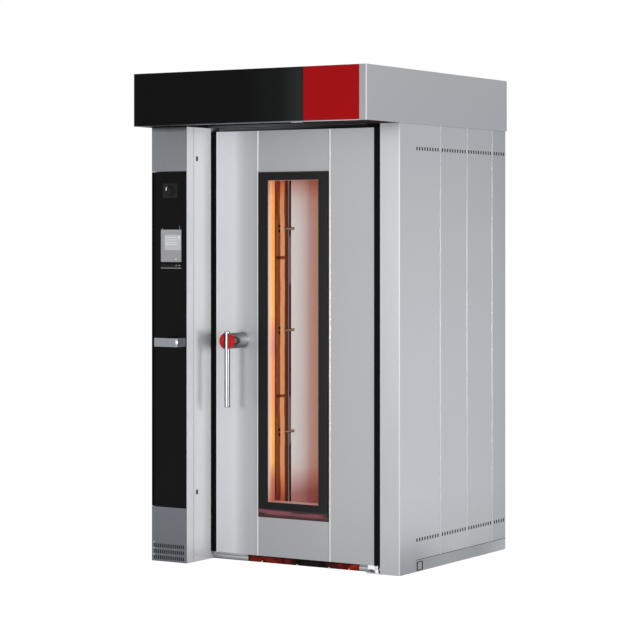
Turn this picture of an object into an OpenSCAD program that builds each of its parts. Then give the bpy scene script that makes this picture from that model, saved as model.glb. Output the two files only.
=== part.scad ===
// Roll-in rotating rack oven with a hood, a swinging door and a control column.
// Millimetres. X runs across the front, +Y runs to the back, +Z is up.
// The origin is under the middle of the whole oven, on the floor.
// The modules are drawn with Y = 0 at the front face of the right jamb and
// set into place at the foot of the file.

/* [Cabinet] */
// Width across the side panels
body_w = 1250; // [1200:10:1400]
// Depth from the front of the jamb to the back panel
body_d = 1047; // [1040:1:1200]
// Height from the floor to the underside of the hood
body_h = 2053; // [2050:1:2150]
// Thickness of the outer sheets
skin_t = 2; // [1.5:0.5:3]
// Height of the feet that show under the base
ground_gap = 3; // [2:1:6]
// Height of the kick plates
plinth_h = 58; // [50:1:80]
// Length of the front foot of each side, which has no kick plate
plinth_start = 151; // [120:1:200]
// Depth of the panel between the front corner and the first seam
panel_1_d = 387; // [350:1:420]
// Depth of the second side panel
panel_2_d = 265; // [240:1:300]
// Depth of the third side panel
panel_3_d = 259; // [240:1:290]
// Width of the folded seam between two side panels
seam_w = 9; // [6:1:14]
// How far a folded seam stands out
seam_out = 2; // [1:0.5:3]

/* [Vents] */
// Distance of the upper row of vents under the hood
vent_drop = 120; // [90:1:200]
// Height of the lower row of vents
vent_low_z = 140; // [110:1:300]
// Height of one vent slot
vent_h = 16; // [10:1:25]
// Width of one vent slot
vent_w = 11; // [5:1:13]
// Distance from one vent slot to the next
vent_pitch = 25; // [20:1:34]
// Plain width beside each seam
vent_edge = 7; // [5:1:30]

/* [Hood] */
// Height of the hood
hood_h = 247; // [200:1:300]
// Hood overhang at each side
hood_side = 7; // [6:1:20]
// Reach of the hood ahead of the jamb
hood_front = 312; // [280:1:400]
// Hood overhang at the back
hood_back = 2; // [2:1:10]
// Thickness of the glass and the red panel on the hood
fascia_t = 6; // [4:1:8]
// Width of the red panel
red_w = 292; // [200:1:400]
// Width of the steel strip beside the red panel
end_strip_w = 35; // [20:1:60]
// Width of the lip under the hood's edge
hood_lip = 18; // [12:1:30]
// Height of the recess under the hood
canopy_up = 24; // [18:1:40]
// How far the top sheet lies under the upper edge
top_drop = 60; // [40:1:90]

/* [Column] */
// Width of the control column
column_w = 203; // [190:1:260]
// Reach of the column ahead of the jamb
column_reach = 178; // [150:1:230]
// Depth of the column's front covers
cover_d = 54; // [45:1:70]
// Set-back of the black glass behind the covers' front
glass_back = 8; // [4:1:12]
// Thickness of the black glass
glass_t = 6; // [4:1:8]
// Lower edge of the service door
service_z0 = 262; // [240:1:320]
// Height of the cover over the service door
service_head = 210; // [170:1:250]
// Gap round the service door
service_gap = 2; // [1:0.5:4]
// Radius of the service door's hinge pins
service_pin_r = 4; // [3:0.5:5]
// Width of the touch screen
screen_w = 117; // [90:1:150]
// Height of the touch screen
screen_h = 152; // [110:1:190]
// Distance of the touch screen under the service door's upper edge
screen_drop = 273; // [200:1:330]
// How far the screen stands out of the glass
screen_t = 1.5; // [1:0.5:3]
// Width of the switch plate
switch_w = 83; // [75:1:110]
// Height of the switch plate
switch_h = 68; // [66:1:110]
// Distance of the switch plate under the service door's upper edge
switch_drop = 55; // [30:1:90]
// Radius of the main switch
switch_r = 26; // [20:1:32]
// Height of the main switch ahead of its plate
switch_out = 16; // [12:1:25]
// Width of the pull handle
pull_w = 134; // [110:1:150]
// Height of the pull handle's flat bar
pull_h = 41; // [30:1:60]
// Lower edge of the pull handle
pull_z = 1021; // [900:1:1150]
// Reach of the pull handle ahead of the covers
pull_out = 74; // [60:1:90]
// Thickness of the pull handle's flat bar
pull_t = 4; // [3:1:6]

/* [Door] */
// Gap between the column and the door
gap_left = 35; // [33:1:50]
// Gap between the door and the jamb
gap_right = 41; // [39:1:50]
// Width of the right jamb
jamb_w = 103; // [90:1:140]
// Set-back of the door's face behind the jamb
door_set = 15; // [13:1:20]
// Thickness of the door
door_t = 65; // [55:1:70]
// Lower edge of the door
door_z0 = 38; // [34:1:50]
// Gap between the door and the underside of the hood
door_top_gap = 18; // [16:1:26]
// Distance of the hinge line from the jamb's inner edge
hinge_in = 22; // [20:1:26]
// Distance of the hinge line behind the jamb's front face
hinge_back = 12; // [10:1:16]
// Radius of the hinge pins
hinge_pin_r = 7; // [5:0.5:9]
// Clearance of the moving pins in their bores
pin_fit = 0.05; // [0.03:0.01:0.08]

/* [Window] */
// Width of the door's face panel at each side of the window
stile_w = 239; // [225:1:262]
// Lower edge of the opening
window_z0 = 220; // [180:1:300]
// Height of the face panel over the window
window_head = 194; // [150:1:260]
// Width of the red seal beside and over the frame
seal_w = 6; // [4:1:9]
// Height of the sloping red sill
sill_h = 40; // [25:1:50]
// How far the black frame stands out of the door
frame_out = 8; // [5:1:12]
// Width of the black frame
frame_w = 49; // [35:1:60]
// Height of the black frame's top and bottom rails
rail_h = 34; // [25:1:50]
// Thickness of the outer pane
pane_t = 6; // [4:1:8]
// Width of a lamp strip in the window's side
lamp_w = 46; // [20:1:48]

/* [Lever] */
// Distance of the lever's hub inside the way in's left edge
hub_in = 34; // [30:1:40]
// Height of the lever's hub
hub_z = 1049; // [900:1:1200]
// Radius of the hub
hub_r = 37; // [32:1:45]
// Reach of the hub ahead of the door
hub_out = 121; // [90:1:150]
// Radius of the red cap
cap_r = 38.5; // [36:0.5:42]
// Thickness of the red cap
cap_t = 18; // [12:1:20]
// Radius of the lever
lever_r = 13; // [10:1:16]
// Length of the lever over the hub's centre
lever_up = 45; // [44:1:60]
// Length of the lever under the hub's centre
lever_down = 310; // [250:1:380]
// Radius of the spindle
spindle_r = 8; // [6:1:10]
// Length of the locking cam
cam_len = 60; // [55:1:75]

/* [Chamber] */
// Space for the fan motors behind the left panels
motor_space = 95; // [90:1:120]
// Depth of the baking chamber
chamber_d = 790; // [780:1:800]
// How far the door laps over each side of the rack's way in
door_lap = 114; // [104:1:119]
// Height of the chamber's floor
floor_z = 20; // [18:1:26]
// Height of the frame's head under the ceiling
entrance_head = 15; // [10:1:40]
// Distance of the chamber's ceiling under the hood
ceiling_drop = 68; // [53:1:73]
// Thickness of the chamber's sheets
liner_t = 2; // [1.5:0.5:3]
// Depth of the black frame behind the door
frame_d = 40; // [30:1:50]
// Space between the closed door and the black frame
seal_gap = 5; // [4:0.5:8]
// Depth of the air duct behind the louvred wall
duct_d = 125; // [120:1:140]
// Thickness of the insulation beside the duct
wool_t = 50; // [40:1:60]
// Thickness of the insulation at the right
wool_right = 100; // [60:1:100]
// Width of one fold of the louvred wall
fold_w = 91; // [80:1:100]
// Depth of one fold of the louvred wall
fold_d = 22; // [15:1:28]

/* [Rotor and fans] */
// Radius of the rotor's shaft
rotor_r = 20; // [16:1:25]
// Distance of the rack hook's tongues under the ceiling
hook_drop = 95; // [85:1:120]
// Mouth of the rack hook
hook_mouth = 36; // [30:1:42]
// Radius of a circulation fan
fan_r = 190; // [150:1:200]
// Height of the lower fan's shaft
fan_low_z = 620; // [560:1:700]
// Distance of the upper fan's shaft under the ceiling
fan_high_drop = 565; // [480:1:680]
// Number of blades on a fan
fan_blades = 10; // [6:1:12]
// Outer radius of the flue
flue_r = 78; // [66:1:90]
// Wall of the flue
flue_t = 2; // [1.5:0.5:3]
// How far the spigot at the flue's end is drawn in
spigot_in = 3; // [2:0.5:8]
// Length of the spigot
spigot_h = 50; // [40:1:52]

/* [Hidden] */
$fn = 48;

// Gap left between faces that move past each other or curved faces that meet
seat = 0.3;
// Play of a fixed rod in its hole
play = 0.1;
// Depth of the folds along the edges of the outer sheets
return_d = 20;

// Overall places. Y is counted from the jamb's front face.
left_x = -body_w / 2;
right_x = body_w / 2;
back_y = body_d;
hood_z1 = body_h + hood_h;
frame_shift = (hood_front - body_d - hood_back) / 2;
column_x = left_x + column_w;
jamb_x = right_x - jamb_w;
cover_y = -column_reach;
side_y = cover_y + cover_d;
cover_x1 = column_x - skin_t - service_gap;
service_z1 = body_h - service_head;
screen_z = service_z1 - screen_drop - screen_h;
switch_z = service_z1 - switch_drop - switch_h;
vent_top_z = body_h - vent_drop;

// Door
door_x0 = column_x + gap_left;
door_x1 = jamb_x - gap_right;
door_mid = (door_x0 + door_x1) / 2;
door_z1 = body_h - door_top_gap;
door_y1 = door_set + door_t;
hinge_x = jamb_x - hinge_in;
hinge_y = hinge_back;
window_x0 = door_x0 + stile_w;
window_x1 = door_x1 - stile_w;
window_z1 = door_z1 - window_head;
pane_x0 = window_x0 + seal_w;
pane_x1 = window_x1 - seal_w;
pane_z0 = window_z0 + sill_h;
pane_z1 = window_z1 - seal_w;
clear_x0 = pane_x0 + frame_w;
clear_x1 = pane_x1 - frame_w;
clear_z0 = pane_z0 + rail_h;
clear_z1 = pane_z1 - rail_h;
pane_y0 = door_set - frame_out + 2;
entrance_x0 = door_x0 + door_lap;
entrance_x1 = door_x1 - door_lap;
hub_x = entrance_x0 + hub_in;
hub_y = door_set - hub_out;
sweep_x0 = door_x0 + 165;
sweep_x1 = door_x1 - 95;
// Black cheek beside the door's left edge
cheek_t = 3;

// Chamber
frame_y = door_y1 + seal_gap;
chamber_y0 = frame_y + frame_d;
chamber_y1 = chamber_y0 + chamber_d;
rotor_y = (chamber_y0 + chamber_y1) / 2;
ceiling_z = body_h - ceiling_drop;
entrance_z1 = ceiling_z - entrance_head;
hook_z = ceiling_z - hook_drop;
fan_high_z = ceiling_z - fan_high_drop;
rail_w = 40;
rail_inset = 30;
wool_x0 = left_x + motor_space;
duct_x0 = wool_x0 + wool_t + liner_t;
chamber_x0 = duct_x0 + duct_d;
wool_x1 = right_x - rail_inset - rail_w - 6;
chamber_x1 = wool_x1 - wool_right - liner_t;
rear_wool_y = back_y - rail_inset - rail_w;

// Louvred wall: the last fold ends at the black air gap, then a flat sheet
last_ridge_y = chamber_y0 + 443;
gap_y0 = last_ridge_y + 47;
gap_y1 = gap_y0 + 13;
corner_r = 120;
small_corner_r = 90;
clip_low = 542;
clip_high = 415;
clip_step = (ceiling_z - floor_z - clip_low - clip_high) / 2;
clip_heights = [for (k = [0:2]) floor_z + clip_low + k * clip_step];

// Fans
fan_y = chamber_y0 + 395;
fan_x0 = duct_x0 + 10;
fan_x1 = chamber_x0 - fold_d - liner_t - 10;
fan_shaft_r = 10;
motor_r = 80;

// Hood and roof
roof_z1 = body_h + skin_t;
top_z = hood_z1 - top_drop;
canopy_z = body_h + canopy_up;
flue_x = chamber_x0 + 130;
flue_y = chamber_y1 - 130;
damper_z = roof_z1 + 70;
damper_pin_r = 5;
gearbox_z = roof_z1 + 22;

// First place for a vent, and the side seams, counted from the front corner
vent_y0 = chamber_y0 + 15;
seam_ys = [panel_1_d, panel_1_d + panel_2_d, panel_1_d + panel_2_d + panel_3_d];

// A box between two values on each axis
module span(x, y, z) {
  translate([x[0], y[0], z[0]]) cube([x[1] - x[0], y[1] - y[0], z[1] - z[0]]);
}

// Round bars along each axis
module bar_x(x, y, z, r) {
  translate([x[0], y, z]) rotate([0, 90, 0]) cylinder(r = r, h = x[1] - x[0]);
}
module bar_y(x, y, z, r) {
  translate([x, y[0], z]) rotate([-90, 0, 0]) cylinder(r = r, h = y[1] - y[0]);
}
module bar_z(x, y, z, r) {
  translate([x, y, z[0]]) cylinder(r = r, h = z[1] - z[0]);
}

// Outlines in YZ, XZ and XY, drawn out along the third axis
module profile_x(x, points) {
  translate([x[0], 0, 0]) rotate([90, 0, 90]) linear_extrude(x[1] - x[0]) polygon(points);
}
module profile_y(y, points) {
  translate([0, y[1], 0]) rotate([90, 0, 0]) linear_extrude(y[1] - y[0]) polygon(points);
}
module profile_z(z, points) {
  translate([0, 0, z[0]]) linear_extrude(z[1] - z[0]) polygon(points);
}

// Tray of folded sheet, open at the back
module tray(x, y, z, t) {
  difference() {
    span(x, y, z);
    span([x[0] + t, x[1] - t], [y[0] + t, y[1] + 1], [z[0] + t, z[1] - t]);
  }
}

// Base

// Square tubes that carry the walls
module base_rails() {
  color("dimgray") {
    rail_z = [8, plinth_h];
    right = [right_x - rail_inset - rail_w, right_x - rail_inset];
    left = [left_x + rail_inset, left_x + rail_inset + rail_w];
    inner = [column_x - 20 - rail_w, column_x - 20];
    difference() {
      union() {
        span(right, [frame_y, back_y - rail_inset], rail_z);
        span(left, [side_y, back_y - rail_inset], rail_z);
        span([left[1], right[0]], [rear_wool_y, back_y - rail_inset], rail_z);
        span(inner, [side_y + rail_w, frame_y], rail_z);
        span([left[1], inner[1]], [side_y, side_y + rail_w], rail_z);
      }
      for (p = foot_places) bar_z(p[0], p[1], [7, 34], foot_stud_r + play);
    }
  }
}

foot_stud_r = 6;
foot_places = [
  [left_x + rail_inset + rail_w / 2, side_y + rail_w / 2],
  [left_x + rail_inset + rail_w / 2, back_y / 2],
  [left_x + rail_inset + rail_w / 2, back_y - rail_inset - rail_w / 2],
  [column_x - 20 - rail_w / 2, side_y + 2 * rail_w],
  [right_x - rail_inset - rail_w / 2, frame_y + rail_w],
  [right_x - rail_inset - rail_w / 2, back_y / 2],
  [right_x - rail_inset - rail_w / 2, back_y - rail_inset - rail_w / 2]
];

// Screw feet: a pad, a hexagon to turn it by and a stud up into the rail
module levelling_feet() {
  color("silver")
    for (p = foot_places) {
      bar_z(p[0], p[1], [0, 4], 20);
      translate([p[0], p[1], 4]) cylinder(r = 11, h = 4, $fn = 6);
      bar_z(p[0], p[1], [4, 30], foot_stud_r);
    }
}

// Chamber floor on its ribs
module floor_plate() {
  x = [left_x + rail_inset + rail_w, right_x - rail_inset - rail_w];
  color("lightgray") {
    span(x, [frame_y, rear_wool_y], [floor_z - 4, floor_z]);
    for (i = [0:4])
      span([x[0] + 40 + i * (x[1] - x[0] - 100) / 4, x[0] + 60 + i * (x[1] - x[0] - 100) / 4],
           [frame_y, rear_wool_y], [8, floor_z - 4]);
  }
}

// Ramp into the chamber and the steel shoes at both sides of it
module threshold_plates() {
  shoe_y = door_set + 27;
  shoe_z = door_z0 - 6;
  slope = 10;
  color("silver") {
    profile_x([sweep_x0, sweep_x1],
      [[62, 1], [62, 3], [frame_y, floor_z], [frame_y, floor_z - 4], [72, 1]]);
    for (x = [[column_x, sweep_x0 - 1], [sweep_x1 + 1, door_x1 - 38]])
      profile_x(x,
        [[shoe_y, ground_gap], [shoe_y, shoe_z - slope], [shoe_y + slope, shoe_z],
         [frame_y, shoe_z], [frame_y, ground_gap]]);
  }
}

// Kick plates: folded flange on top, which lies against the base rail
kick_z1 = plinth_h - 2;
module kick_plate(length) {
  profile_x([0, length],
    [[0, ground_gap], [0, kick_z1], [rail_inset, kick_z1],
     [rail_inset, kick_z1 - skin_t], [skin_t, kick_z1 - skin_t], [skin_t, ground_gap]]);
}

// The right one has a small lid at its front end, on a plate behind it
module plinth_plates() {
  lid_y = [plinth_start + 10, plinth_start + 60];
  lid_z = [ground_gap + 4, kick_z1 - 8];
  slit = 2;
  color("gray") {
    difference() {
      translate([right_x, plinth_start + 1, 0]) rotate([0, 0, 90])
        kick_plate(back_y - plinth_start - 1);
      span([right_x - skin_t - 1, right_x + 1], lid_y, lid_z);
    }
    span([right_x - 2 * skin_t, right_x - skin_t], [lid_y[0] - 5, lid_y[1] + 5],
         [lid_z[0] - 3, lid_z[1] + 3]);
    span([right_x - skin_t, right_x], [lid_y[0] + slit, lid_y[1] - slit],
         [lid_z[0] + slit, lid_z[1] - slit]);
    translate([left_x, back_y, 0]) rotate([0, 0, -90]) kick_plate(back_y - side_y);
    translate([right_x - rail_inset, back_y, 0]) rotate([0, 0, 180])
      kick_plate(body_w - 2 * rail_inset);
  }
}

// Cladding

// Vent slots cut through a side panel between two values of Y
module vents(x, y) {
  count = max(1, floor((y[1] - y[0] - 2 * vent_edge - vent_w) / vent_pitch) + 1);
  start = (y[0] + y[1] - (count - 1) * vent_pitch - vent_w) / 2;
  for (z = [vent_low_z, vent_top_z])
    for (i = [0:count - 1])
      span(x, [start + i * vent_pitch, start + i * vent_pitch + vent_w], [z, z + vent_h]);
}

// One side panel, drawn for the right side with its outer face at X = 0:
// flat sheet, two returns turned inwards and the folded seam at its rear edge
module side_panel(y, z0, seam, vent_from) {
  difference() {
    union() {
      span([-skin_t, 0], y, [z0, body_h]);
      span([-skin_t - return_d, -skin_t], [y[0], y[0] + skin_t], [z0, body_h]);
      span([-skin_t - return_d, -skin_t], [y[1] - skin_t, y[1]], [z0, body_h]);
      if (seam)
        profile_z([z0, body_h],
          [[0, y[1] - seam_w], [seam_out, y[1] - seam_w + seam_out],
           [seam_out, y[1] - seam_out], [0, y[1]]]);
    }
    vents([-skin_t - 1, 1], [max(y[0], vent_from), y[1] - (seam ? seam_w : 0)]);
  }
}

// Front post right of the door, folded round both its edges
module right_jamb() {
  color("gainsboro") {
    span([jamb_x, right_x], [0, skin_t], [ground_gap, body_h]);
    span([jamb_x, jamb_x + skin_t], [skin_t, frame_y], [ground_gap, body_h]);
    x1 = right_x - skin_t - return_d;
    span([x1 - skin_t, x1], [skin_t, 40], [ground_gap, body_h]);
  }
}

module right_side_panels() {
  color("silver") translate([right_x, 0, 0]) {
    difference() {
      side_panel([skin_t, seam_ys[0]], ground_gap, true, vent_y0);
      span([-return_d - skin_t - 1, seam_out + 1], [plinth_start, seam_ys[0] + 1], [0, plinth_h]);
    }
    side_panel([seam_ys[0], seam_ys[1]], plinth_h, true, 0);
    side_panel([seam_ys[1], seam_ys[2]], plinth_h, true, 0);
    side_panel([seam_ys[2], back_y - skin_t], plinth_h, false, 0);
  }
}

module left_side_panels() {
  color("silver") translate([left_x, 0, 0]) mirror([1, 0, 0]) {
    side_panel([side_y, 0], plinth_h, true, side_y);
    side_panel([0, seam_ys[0]], plinth_h, true, vent_y0);
    side_panel([seam_ys[0], seam_ys[1]], plinth_h, true, 0);
    side_panel([seam_ys[1], seam_ys[2]], plinth_h, true, 0);
    side_panel([seam_ys[2], back_y - skin_t], plinth_h, false, 0);
  }
}

// Back: three lift-off sheets, the gland of the supply cable and the water inlet
module rear_panels() {
  edges = [left_x, left_x + body_w / 3, right_x - body_w / 3, right_x];
  return_in = return_d + 3 * skin_t;
  row_in = 60;
  row_step = (body_w / 3 - 2 * row_in - vent_w) / 11;
  inlet_in = 120;
  inlet_z = body_h - 233;
  color("silver")
    for (i = [0:2])
      difference() {
        union() {
          span([edges[i], edges[i + 1]], [back_y - skin_t, back_y], [plinth_h, body_h]);
          for (x = [edges[i] + return_in, edges[i + 1] - return_in - skin_t])
            span([x, x + skin_t], [back_y - skin_t - return_d, back_y - skin_t],
                 [plinth_h, body_h]);
        }
        for (z = [vent_low_z, vent_top_z])
          for (k = [0:11])
            translate([edges[i] + row_in + k * row_step, 0, 0])
              span([0, vent_w], [back_y - 3, back_y + 1], [z, z + vent_h]);
      }
  color("dimgray") {
    bar_y(left_x + inlet_in, [back_y - skin_t - 22, back_y - skin_t], inlet_z, 16);
    bar_y(left_x + inlet_in + 80, [back_y - skin_t - 18, back_y - skin_t], inlet_z, 11);
  }
}

// Sheet over the body that the hood stands on
module roof_plate() {
  color("silver") difference() {
    span([left_x - hood_side + skin_t, right_x + hood_side - skin_t], [0, back_y],
         [body_h, roof_z1]);
    bar_z(door_mid, rotor_y, [body_h - 1, roof_z1 + 1], rotor_r + 11);
    bar_z(flue_x, flue_y, [body_h - 1, roof_z1 + 1], flue_r + play);
  }
}

// Chamber

// A quarter of a round sheet that fills one upright corner
module corner_sheet(x, y, r, turn) {
  translate([x, y, floor_z]) rotate([0, 0, turn])
    rotate_extrude(angle = 90, $fn = 96)
      translate([r - liner_t - seat, 0]) square([liner_t, ceiling_z - floor_z]);
}

module chamber_walls() {
  z = [floor_z, ceiling_z];
  color("silver") {
    span([chamber_x1, chamber_x1 + liner_t], [chamber_y0, chamber_y1 + liner_t], z);
    span([duct_x0 - liner_t, chamber_x1], [chamber_y1, chamber_y1 + liner_t], z);
    corner_sheet(chamber_x0 + corner_r, chamber_y1 - corner_r, corner_r, 90);
    corner_sheet(chamber_x1 - small_corner_r, chamber_y1 - small_corner_r, small_corner_r, 0);
  }
}

module chamber_ceiling() {
  color("silver") difference() {
    span([duct_x0 - liner_t, chamber_x1 + liner_t], [chamber_y0, chamber_y1 + liner_t],
         [ceiling_z, ceiling_z + liner_t]);
    bar_z(door_mid, rotor_y, [ceiling_z - 1, ceiling_z + liner_t + 1], rotor_r + 11);
    bar_z(flue_x, flue_y, [ceiling_z - 1, ceiling_z + liner_t + 1], flue_r + play);
  }
}

// Folded sheet that lets the air out of the duct: ridges and valleys along Y,
// slots down every valley, and the flat sheet behind the black gap
folds = floor((last_ridge_y - chamber_y0 - 4) / fold_w);
ridge_ys = [for (k = [-folds:0]) last_ridge_y + k * fold_w];
fold_face = concat(
  [for (k = [0:folds], s = [0, 1])
    if (k < folds || s == 0) [ridge_ys[k] + s * fold_w / 2, chamber_x0 - s * fold_d]],
  [[gap_y0 - 8, chamber_x0 - fold_d * 0.7], [gap_y0, chamber_x0 - fold_d * 0.5]]);
fold_sheet = concat(
  [for (p = fold_face) [p[1], p[0]]],
  [for (i = [len(fold_face) - 1:-1:0]) [fold_face[i][1] - liner_t, fold_face[i][0]]]);

module air_duct_wall() {
  z = [floor_z, ceiling_z];
  slot_l = 170;
  slot_step = 195;
  slots = floor((ceiling_z - floor_z - 60) / slot_step);
  color("silver") {
    difference() {
      profile_z(z, fold_sheet);
      for (k = [0:folds - 1], i = [0:slots - 1])
        span([chamber_x0 - fold_d - 6, chamber_x0 - fold_d + 6],
             [ridge_ys[k] + fold_w / 2 - 3, ridge_ys[k] + fold_w / 2 + 3],
             [floor_z + 40 + i * slot_step, floor_z + 40 + i * slot_step + slot_l]);
    }
    span([chamber_x0 - liner_t, chamber_x0], [gap_y1, chamber_y1 - corner_r], z);
    span([chamber_x0 - fold_d, chamber_x0], [chamber_y0, ridge_ys[0]], z);
  }
}

// Clips that hold the folded sheet and the flat one the same distance apart
module louvre_clips() {
  color("gainsboro")
    for (h = clip_heights) {
      span([chamber_x0, chamber_x0 + 3], [last_ridge_y - 8, gap_y1 + 24], [h, h + 14]);
      bar_x([chamber_x0 + 3, chamber_x0 + 6], gap_y1 + 14, h + 7, 5);
    }
}

module duct_outer_wall() {
  color("silver") difference() {
    span([duct_x0 - liner_t, duct_x0], [chamber_y0, chamber_y1], [floor_z, ceiling_z]);
    for (h = [fan_low_z, fan_high_z])
      bar_x([duct_x0 - liner_t - 1, duct_x0 + 1], fan_y, h, fan_shaft_r + 3);
  }
}

// Mineral wool slabs at the left, the right, the back and over the ceiling
module wall_insulation() {
  color("khaki") {
    difference() {
      span([wool_x0, duct_x0 - liner_t], [chamber_y0, rear_wool_y], [floor_z, ceiling_z]);
      for (h = [fan_low_z, fan_high_z])
        bar_x([wool_x0 - 1, duct_x0], fan_y, h, fan_shaft_r + 3);
    }
    span([chamber_x1 + liner_t, wool_x1], [chamber_y0, rear_wool_y], [floor_z, ceiling_z]);
    span([duct_x0 - liner_t, chamber_x1 + liner_t], [chamber_y1 + liner_t, rear_wool_y],
         [floor_z, ceiling_z]);
    difference() {
      span([wool_x0, wool_x1], [chamber_y0, rear_wool_y], [ceiling_z + liner_t, body_h]);
      bar_z(door_mid, rotor_y, [ceiling_z, body_h + 1], rotor_r + 11);
      bar_z(flue_x, flue_y, [ceiling_z, body_h + 1], flue_r + play);
    }
  }
}

// Black frame behind the door: two posts and a head, with the wall beside the duct
// and the cheek beside the door's left edge
module door_frame() {
  color([0.06, 0.06, 0.07]) {
    span([column_x, column_x + cheek_t], [door_set + 5, frame_y], [door_z0, body_h]);
    span([column_x, entrance_x0], [frame_y, chamber_y0], [floor_z, body_h]);
    span([entrance_x1, jamb_x], [frame_y, chamber_y0], [floor_z, body_h]);
    span([entrance_x0, entrance_x1], [frame_y, chamber_y0], [entrance_z1, body_h]);
    span([wool_x0, column_x], [frame_y, chamber_y0], [plinth_h, body_h]);
  }
}

// Tubular heaters: hairpins that hang from a plate at the top of the duct
module heating_elements() {
  heat_r = 6;
  bend_r = 26;
  heater_in = 48;
  heat_x = duct_x0 + heater_in;
  heat_z0 = 220;
  plate_z = ceiling_z - 6;
  color("saddlebrown") {
    for (i = [0:3]) {
      y = fan_y + fan_r + 24 + bend_r + i * 2 * (bend_r + heat_r + 3);
      if (y + bend_r + heat_r < chamber_y1 - 4) {
        bar_z(heat_x, y - bend_r, [heat_z0 + bend_r, plate_z], heat_r);
        bar_z(heat_x, y + bend_r, [heat_z0 + bend_r, plate_z], heat_r);
        translate([heat_x, y, heat_z0 + bend_r]) rotate([90, 0, 90])
          rotate_extrude(angle = -180) translate([bend_r, 0]) circle(r = heat_r, $fn = 24);
      }
    }
    span([heat_x - 20, heat_x + 20], [fan_y + fan_r + 14, chamber_y1 - 4], [plate_z, ceiling_z]);
  }
}

// Motors of the two circulation fans, in the warm gap behind the left panels
module fan_motors() {
  color("dimgray")
    for (h = [fan_low_z, fan_high_z])
      difference() {
        union() {
          bar_x([left_x + skin_t + 4, wool_x0 - 3], fan_y, h, motor_r);
          bar_x([wool_x0 - 3, wool_x0], fan_y, h, motor_r + 25);
          for (a = [0:30:330])
            translate([0, fan_y, h]) rotate([a, 0, 0])
              span([left_x + skin_t + 12, wool_x0 - 10], [-2, 2], [motor_r - 2, motor_r + 5]);
        }
        bar_x([wool_x0 - 30, wool_x0 + 1], fan_y, h, fan_shaft_r + pin_fit);
      }
}

// Steam generator: hot trays that the water runs down, between two side plates
module steam_generator() {
  y0 = chamber_y0 + 20;
  y1 = fan_y - fan_r - 20;
  x0 = duct_x0;
  x1 = chamber_x0 - fold_d - liner_t - 14;
  z0 = floor_z + 100;
  color("gray") {
    for (y = [y0, y1 - 4]) span([x0, x1], [y, y + 4], [z0, z0 + 880]);
    for (i = [0:7])
      translate([0, 0, z0 + 40 + i * 100])
        profile_y([y0 + 4, y1 - 4],
          [[x0 + 2, 0], [x0 + 2, 6], [x1 - 12, 36],
           [x1 - 12, 46], [x1 - 8, 46], [x1 - 8, 30]]);
  }
}

// Gearmotor of the rotor on the roof, with the long bearing tube down to the ceiling
module rotor_gearmotor() {
  color("steelblue") difference() {
    union() {
      bar_z(door_mid, rotor_y, [ceiling_z - 4, gearbox_z], rotor_r + 10);
      bar_z(door_mid, rotor_y, [roof_z1, roof_z1 + 8], rotor_r + 45);
      span([door_mid - 80, door_mid + 80], [rotor_y - 70, rotor_y + 70],
           [gearbox_z, gearbox_z + 90]);
      bar_x([door_mid + 80, door_mid + 270], rotor_y, gearbox_z + 45, 38);
      bar_x([door_mid + 80, door_mid + 92], rotor_y, gearbox_z + 45, 44);
      for (a = [0:45:315])
        translate([0, rotor_y, gearbox_z + 45]) rotate([a, 0, 0])
          span([door_mid + 100, door_mid + 250], [-2, 2], [36, 43]);
    }
    bar_z(door_mid, rotor_y, [ceiling_z - 5, gearbox_z + 60], rotor_r + pin_fit);
  }
}

// Column

// Right side of the column with its two slots, and the corner post beside the covers
module column_side() {
  z = [ground_gap, body_h];
  y0 = side_y + skin_t + play;
  groove = 1;
  flange_x = column_x - 14;
  slot_h = 22;
  color("gainsboro") {
    difference() {
      union() {
        span([column_x - skin_t, column_x], [y0 + groove, frame_y], z);
        span([flange_x, column_x - skin_t / 2], [y0, y0 + skin_t], z);
      }
      for (h = [service_z0 + 58, service_z1 + 51])
        span([column_x - skin_t - 1, column_x + 1], [side_y + 20, side_y + 37], [h, h + slot_h]);
    }
    span([column_x - skin_t, column_x], [cover_y, side_y + skin_t], z);
    span([flange_x, column_x - skin_t], [side_y, side_y + skin_t], z);
  }
}

service_pin_x = left_x + 13;
service_pin_y = cover_y + 26;

// Steel cover over the service door, with the upper hinge pin
module column_top_cover() {
  z0 = service_z1 + service_gap;
  color("slategray") {
    tray([left_x, cover_x1], [cover_y, side_y], [z0, body_h], skin_t);
    bar_z(service_pin_x, service_pin_y, [z0 - 12, z0], service_pin_r);
  }
}

// Steel cover under the service door, with three rows of slots and the lower pin
module louvre_cover() {
  z1 = service_z0 - service_gap;
  cover_w = cover_x1 - left_x;
  rows = 3;
  row_z0 = 12;
  row_pitch = 28;
  slot_h = 18;
  slot_pitch = 11;
  count = floor((cover_w - 16) / slot_pitch);
  color("slategray") {
    difference() {
      tray([left_x, cover_x1], [cover_y, side_y], [ground_gap, z1], skin_t);
      for (r = [0:rows - 1], i = [0:count - 1])
        translate([left_x + (cover_w - (count - 1) * slot_pitch) / 2 + i * slot_pitch, 0, 0])
          span([-3, 3], [cover_y - 1, cover_y + skin_t + 1],
               [row_z0 + r * row_pitch, row_z0 + r * row_pitch + slot_h]);
    }
    bar_z(service_pin_x, service_pin_y, [z1, z1 + 12], service_pin_r);
  }
}

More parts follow.
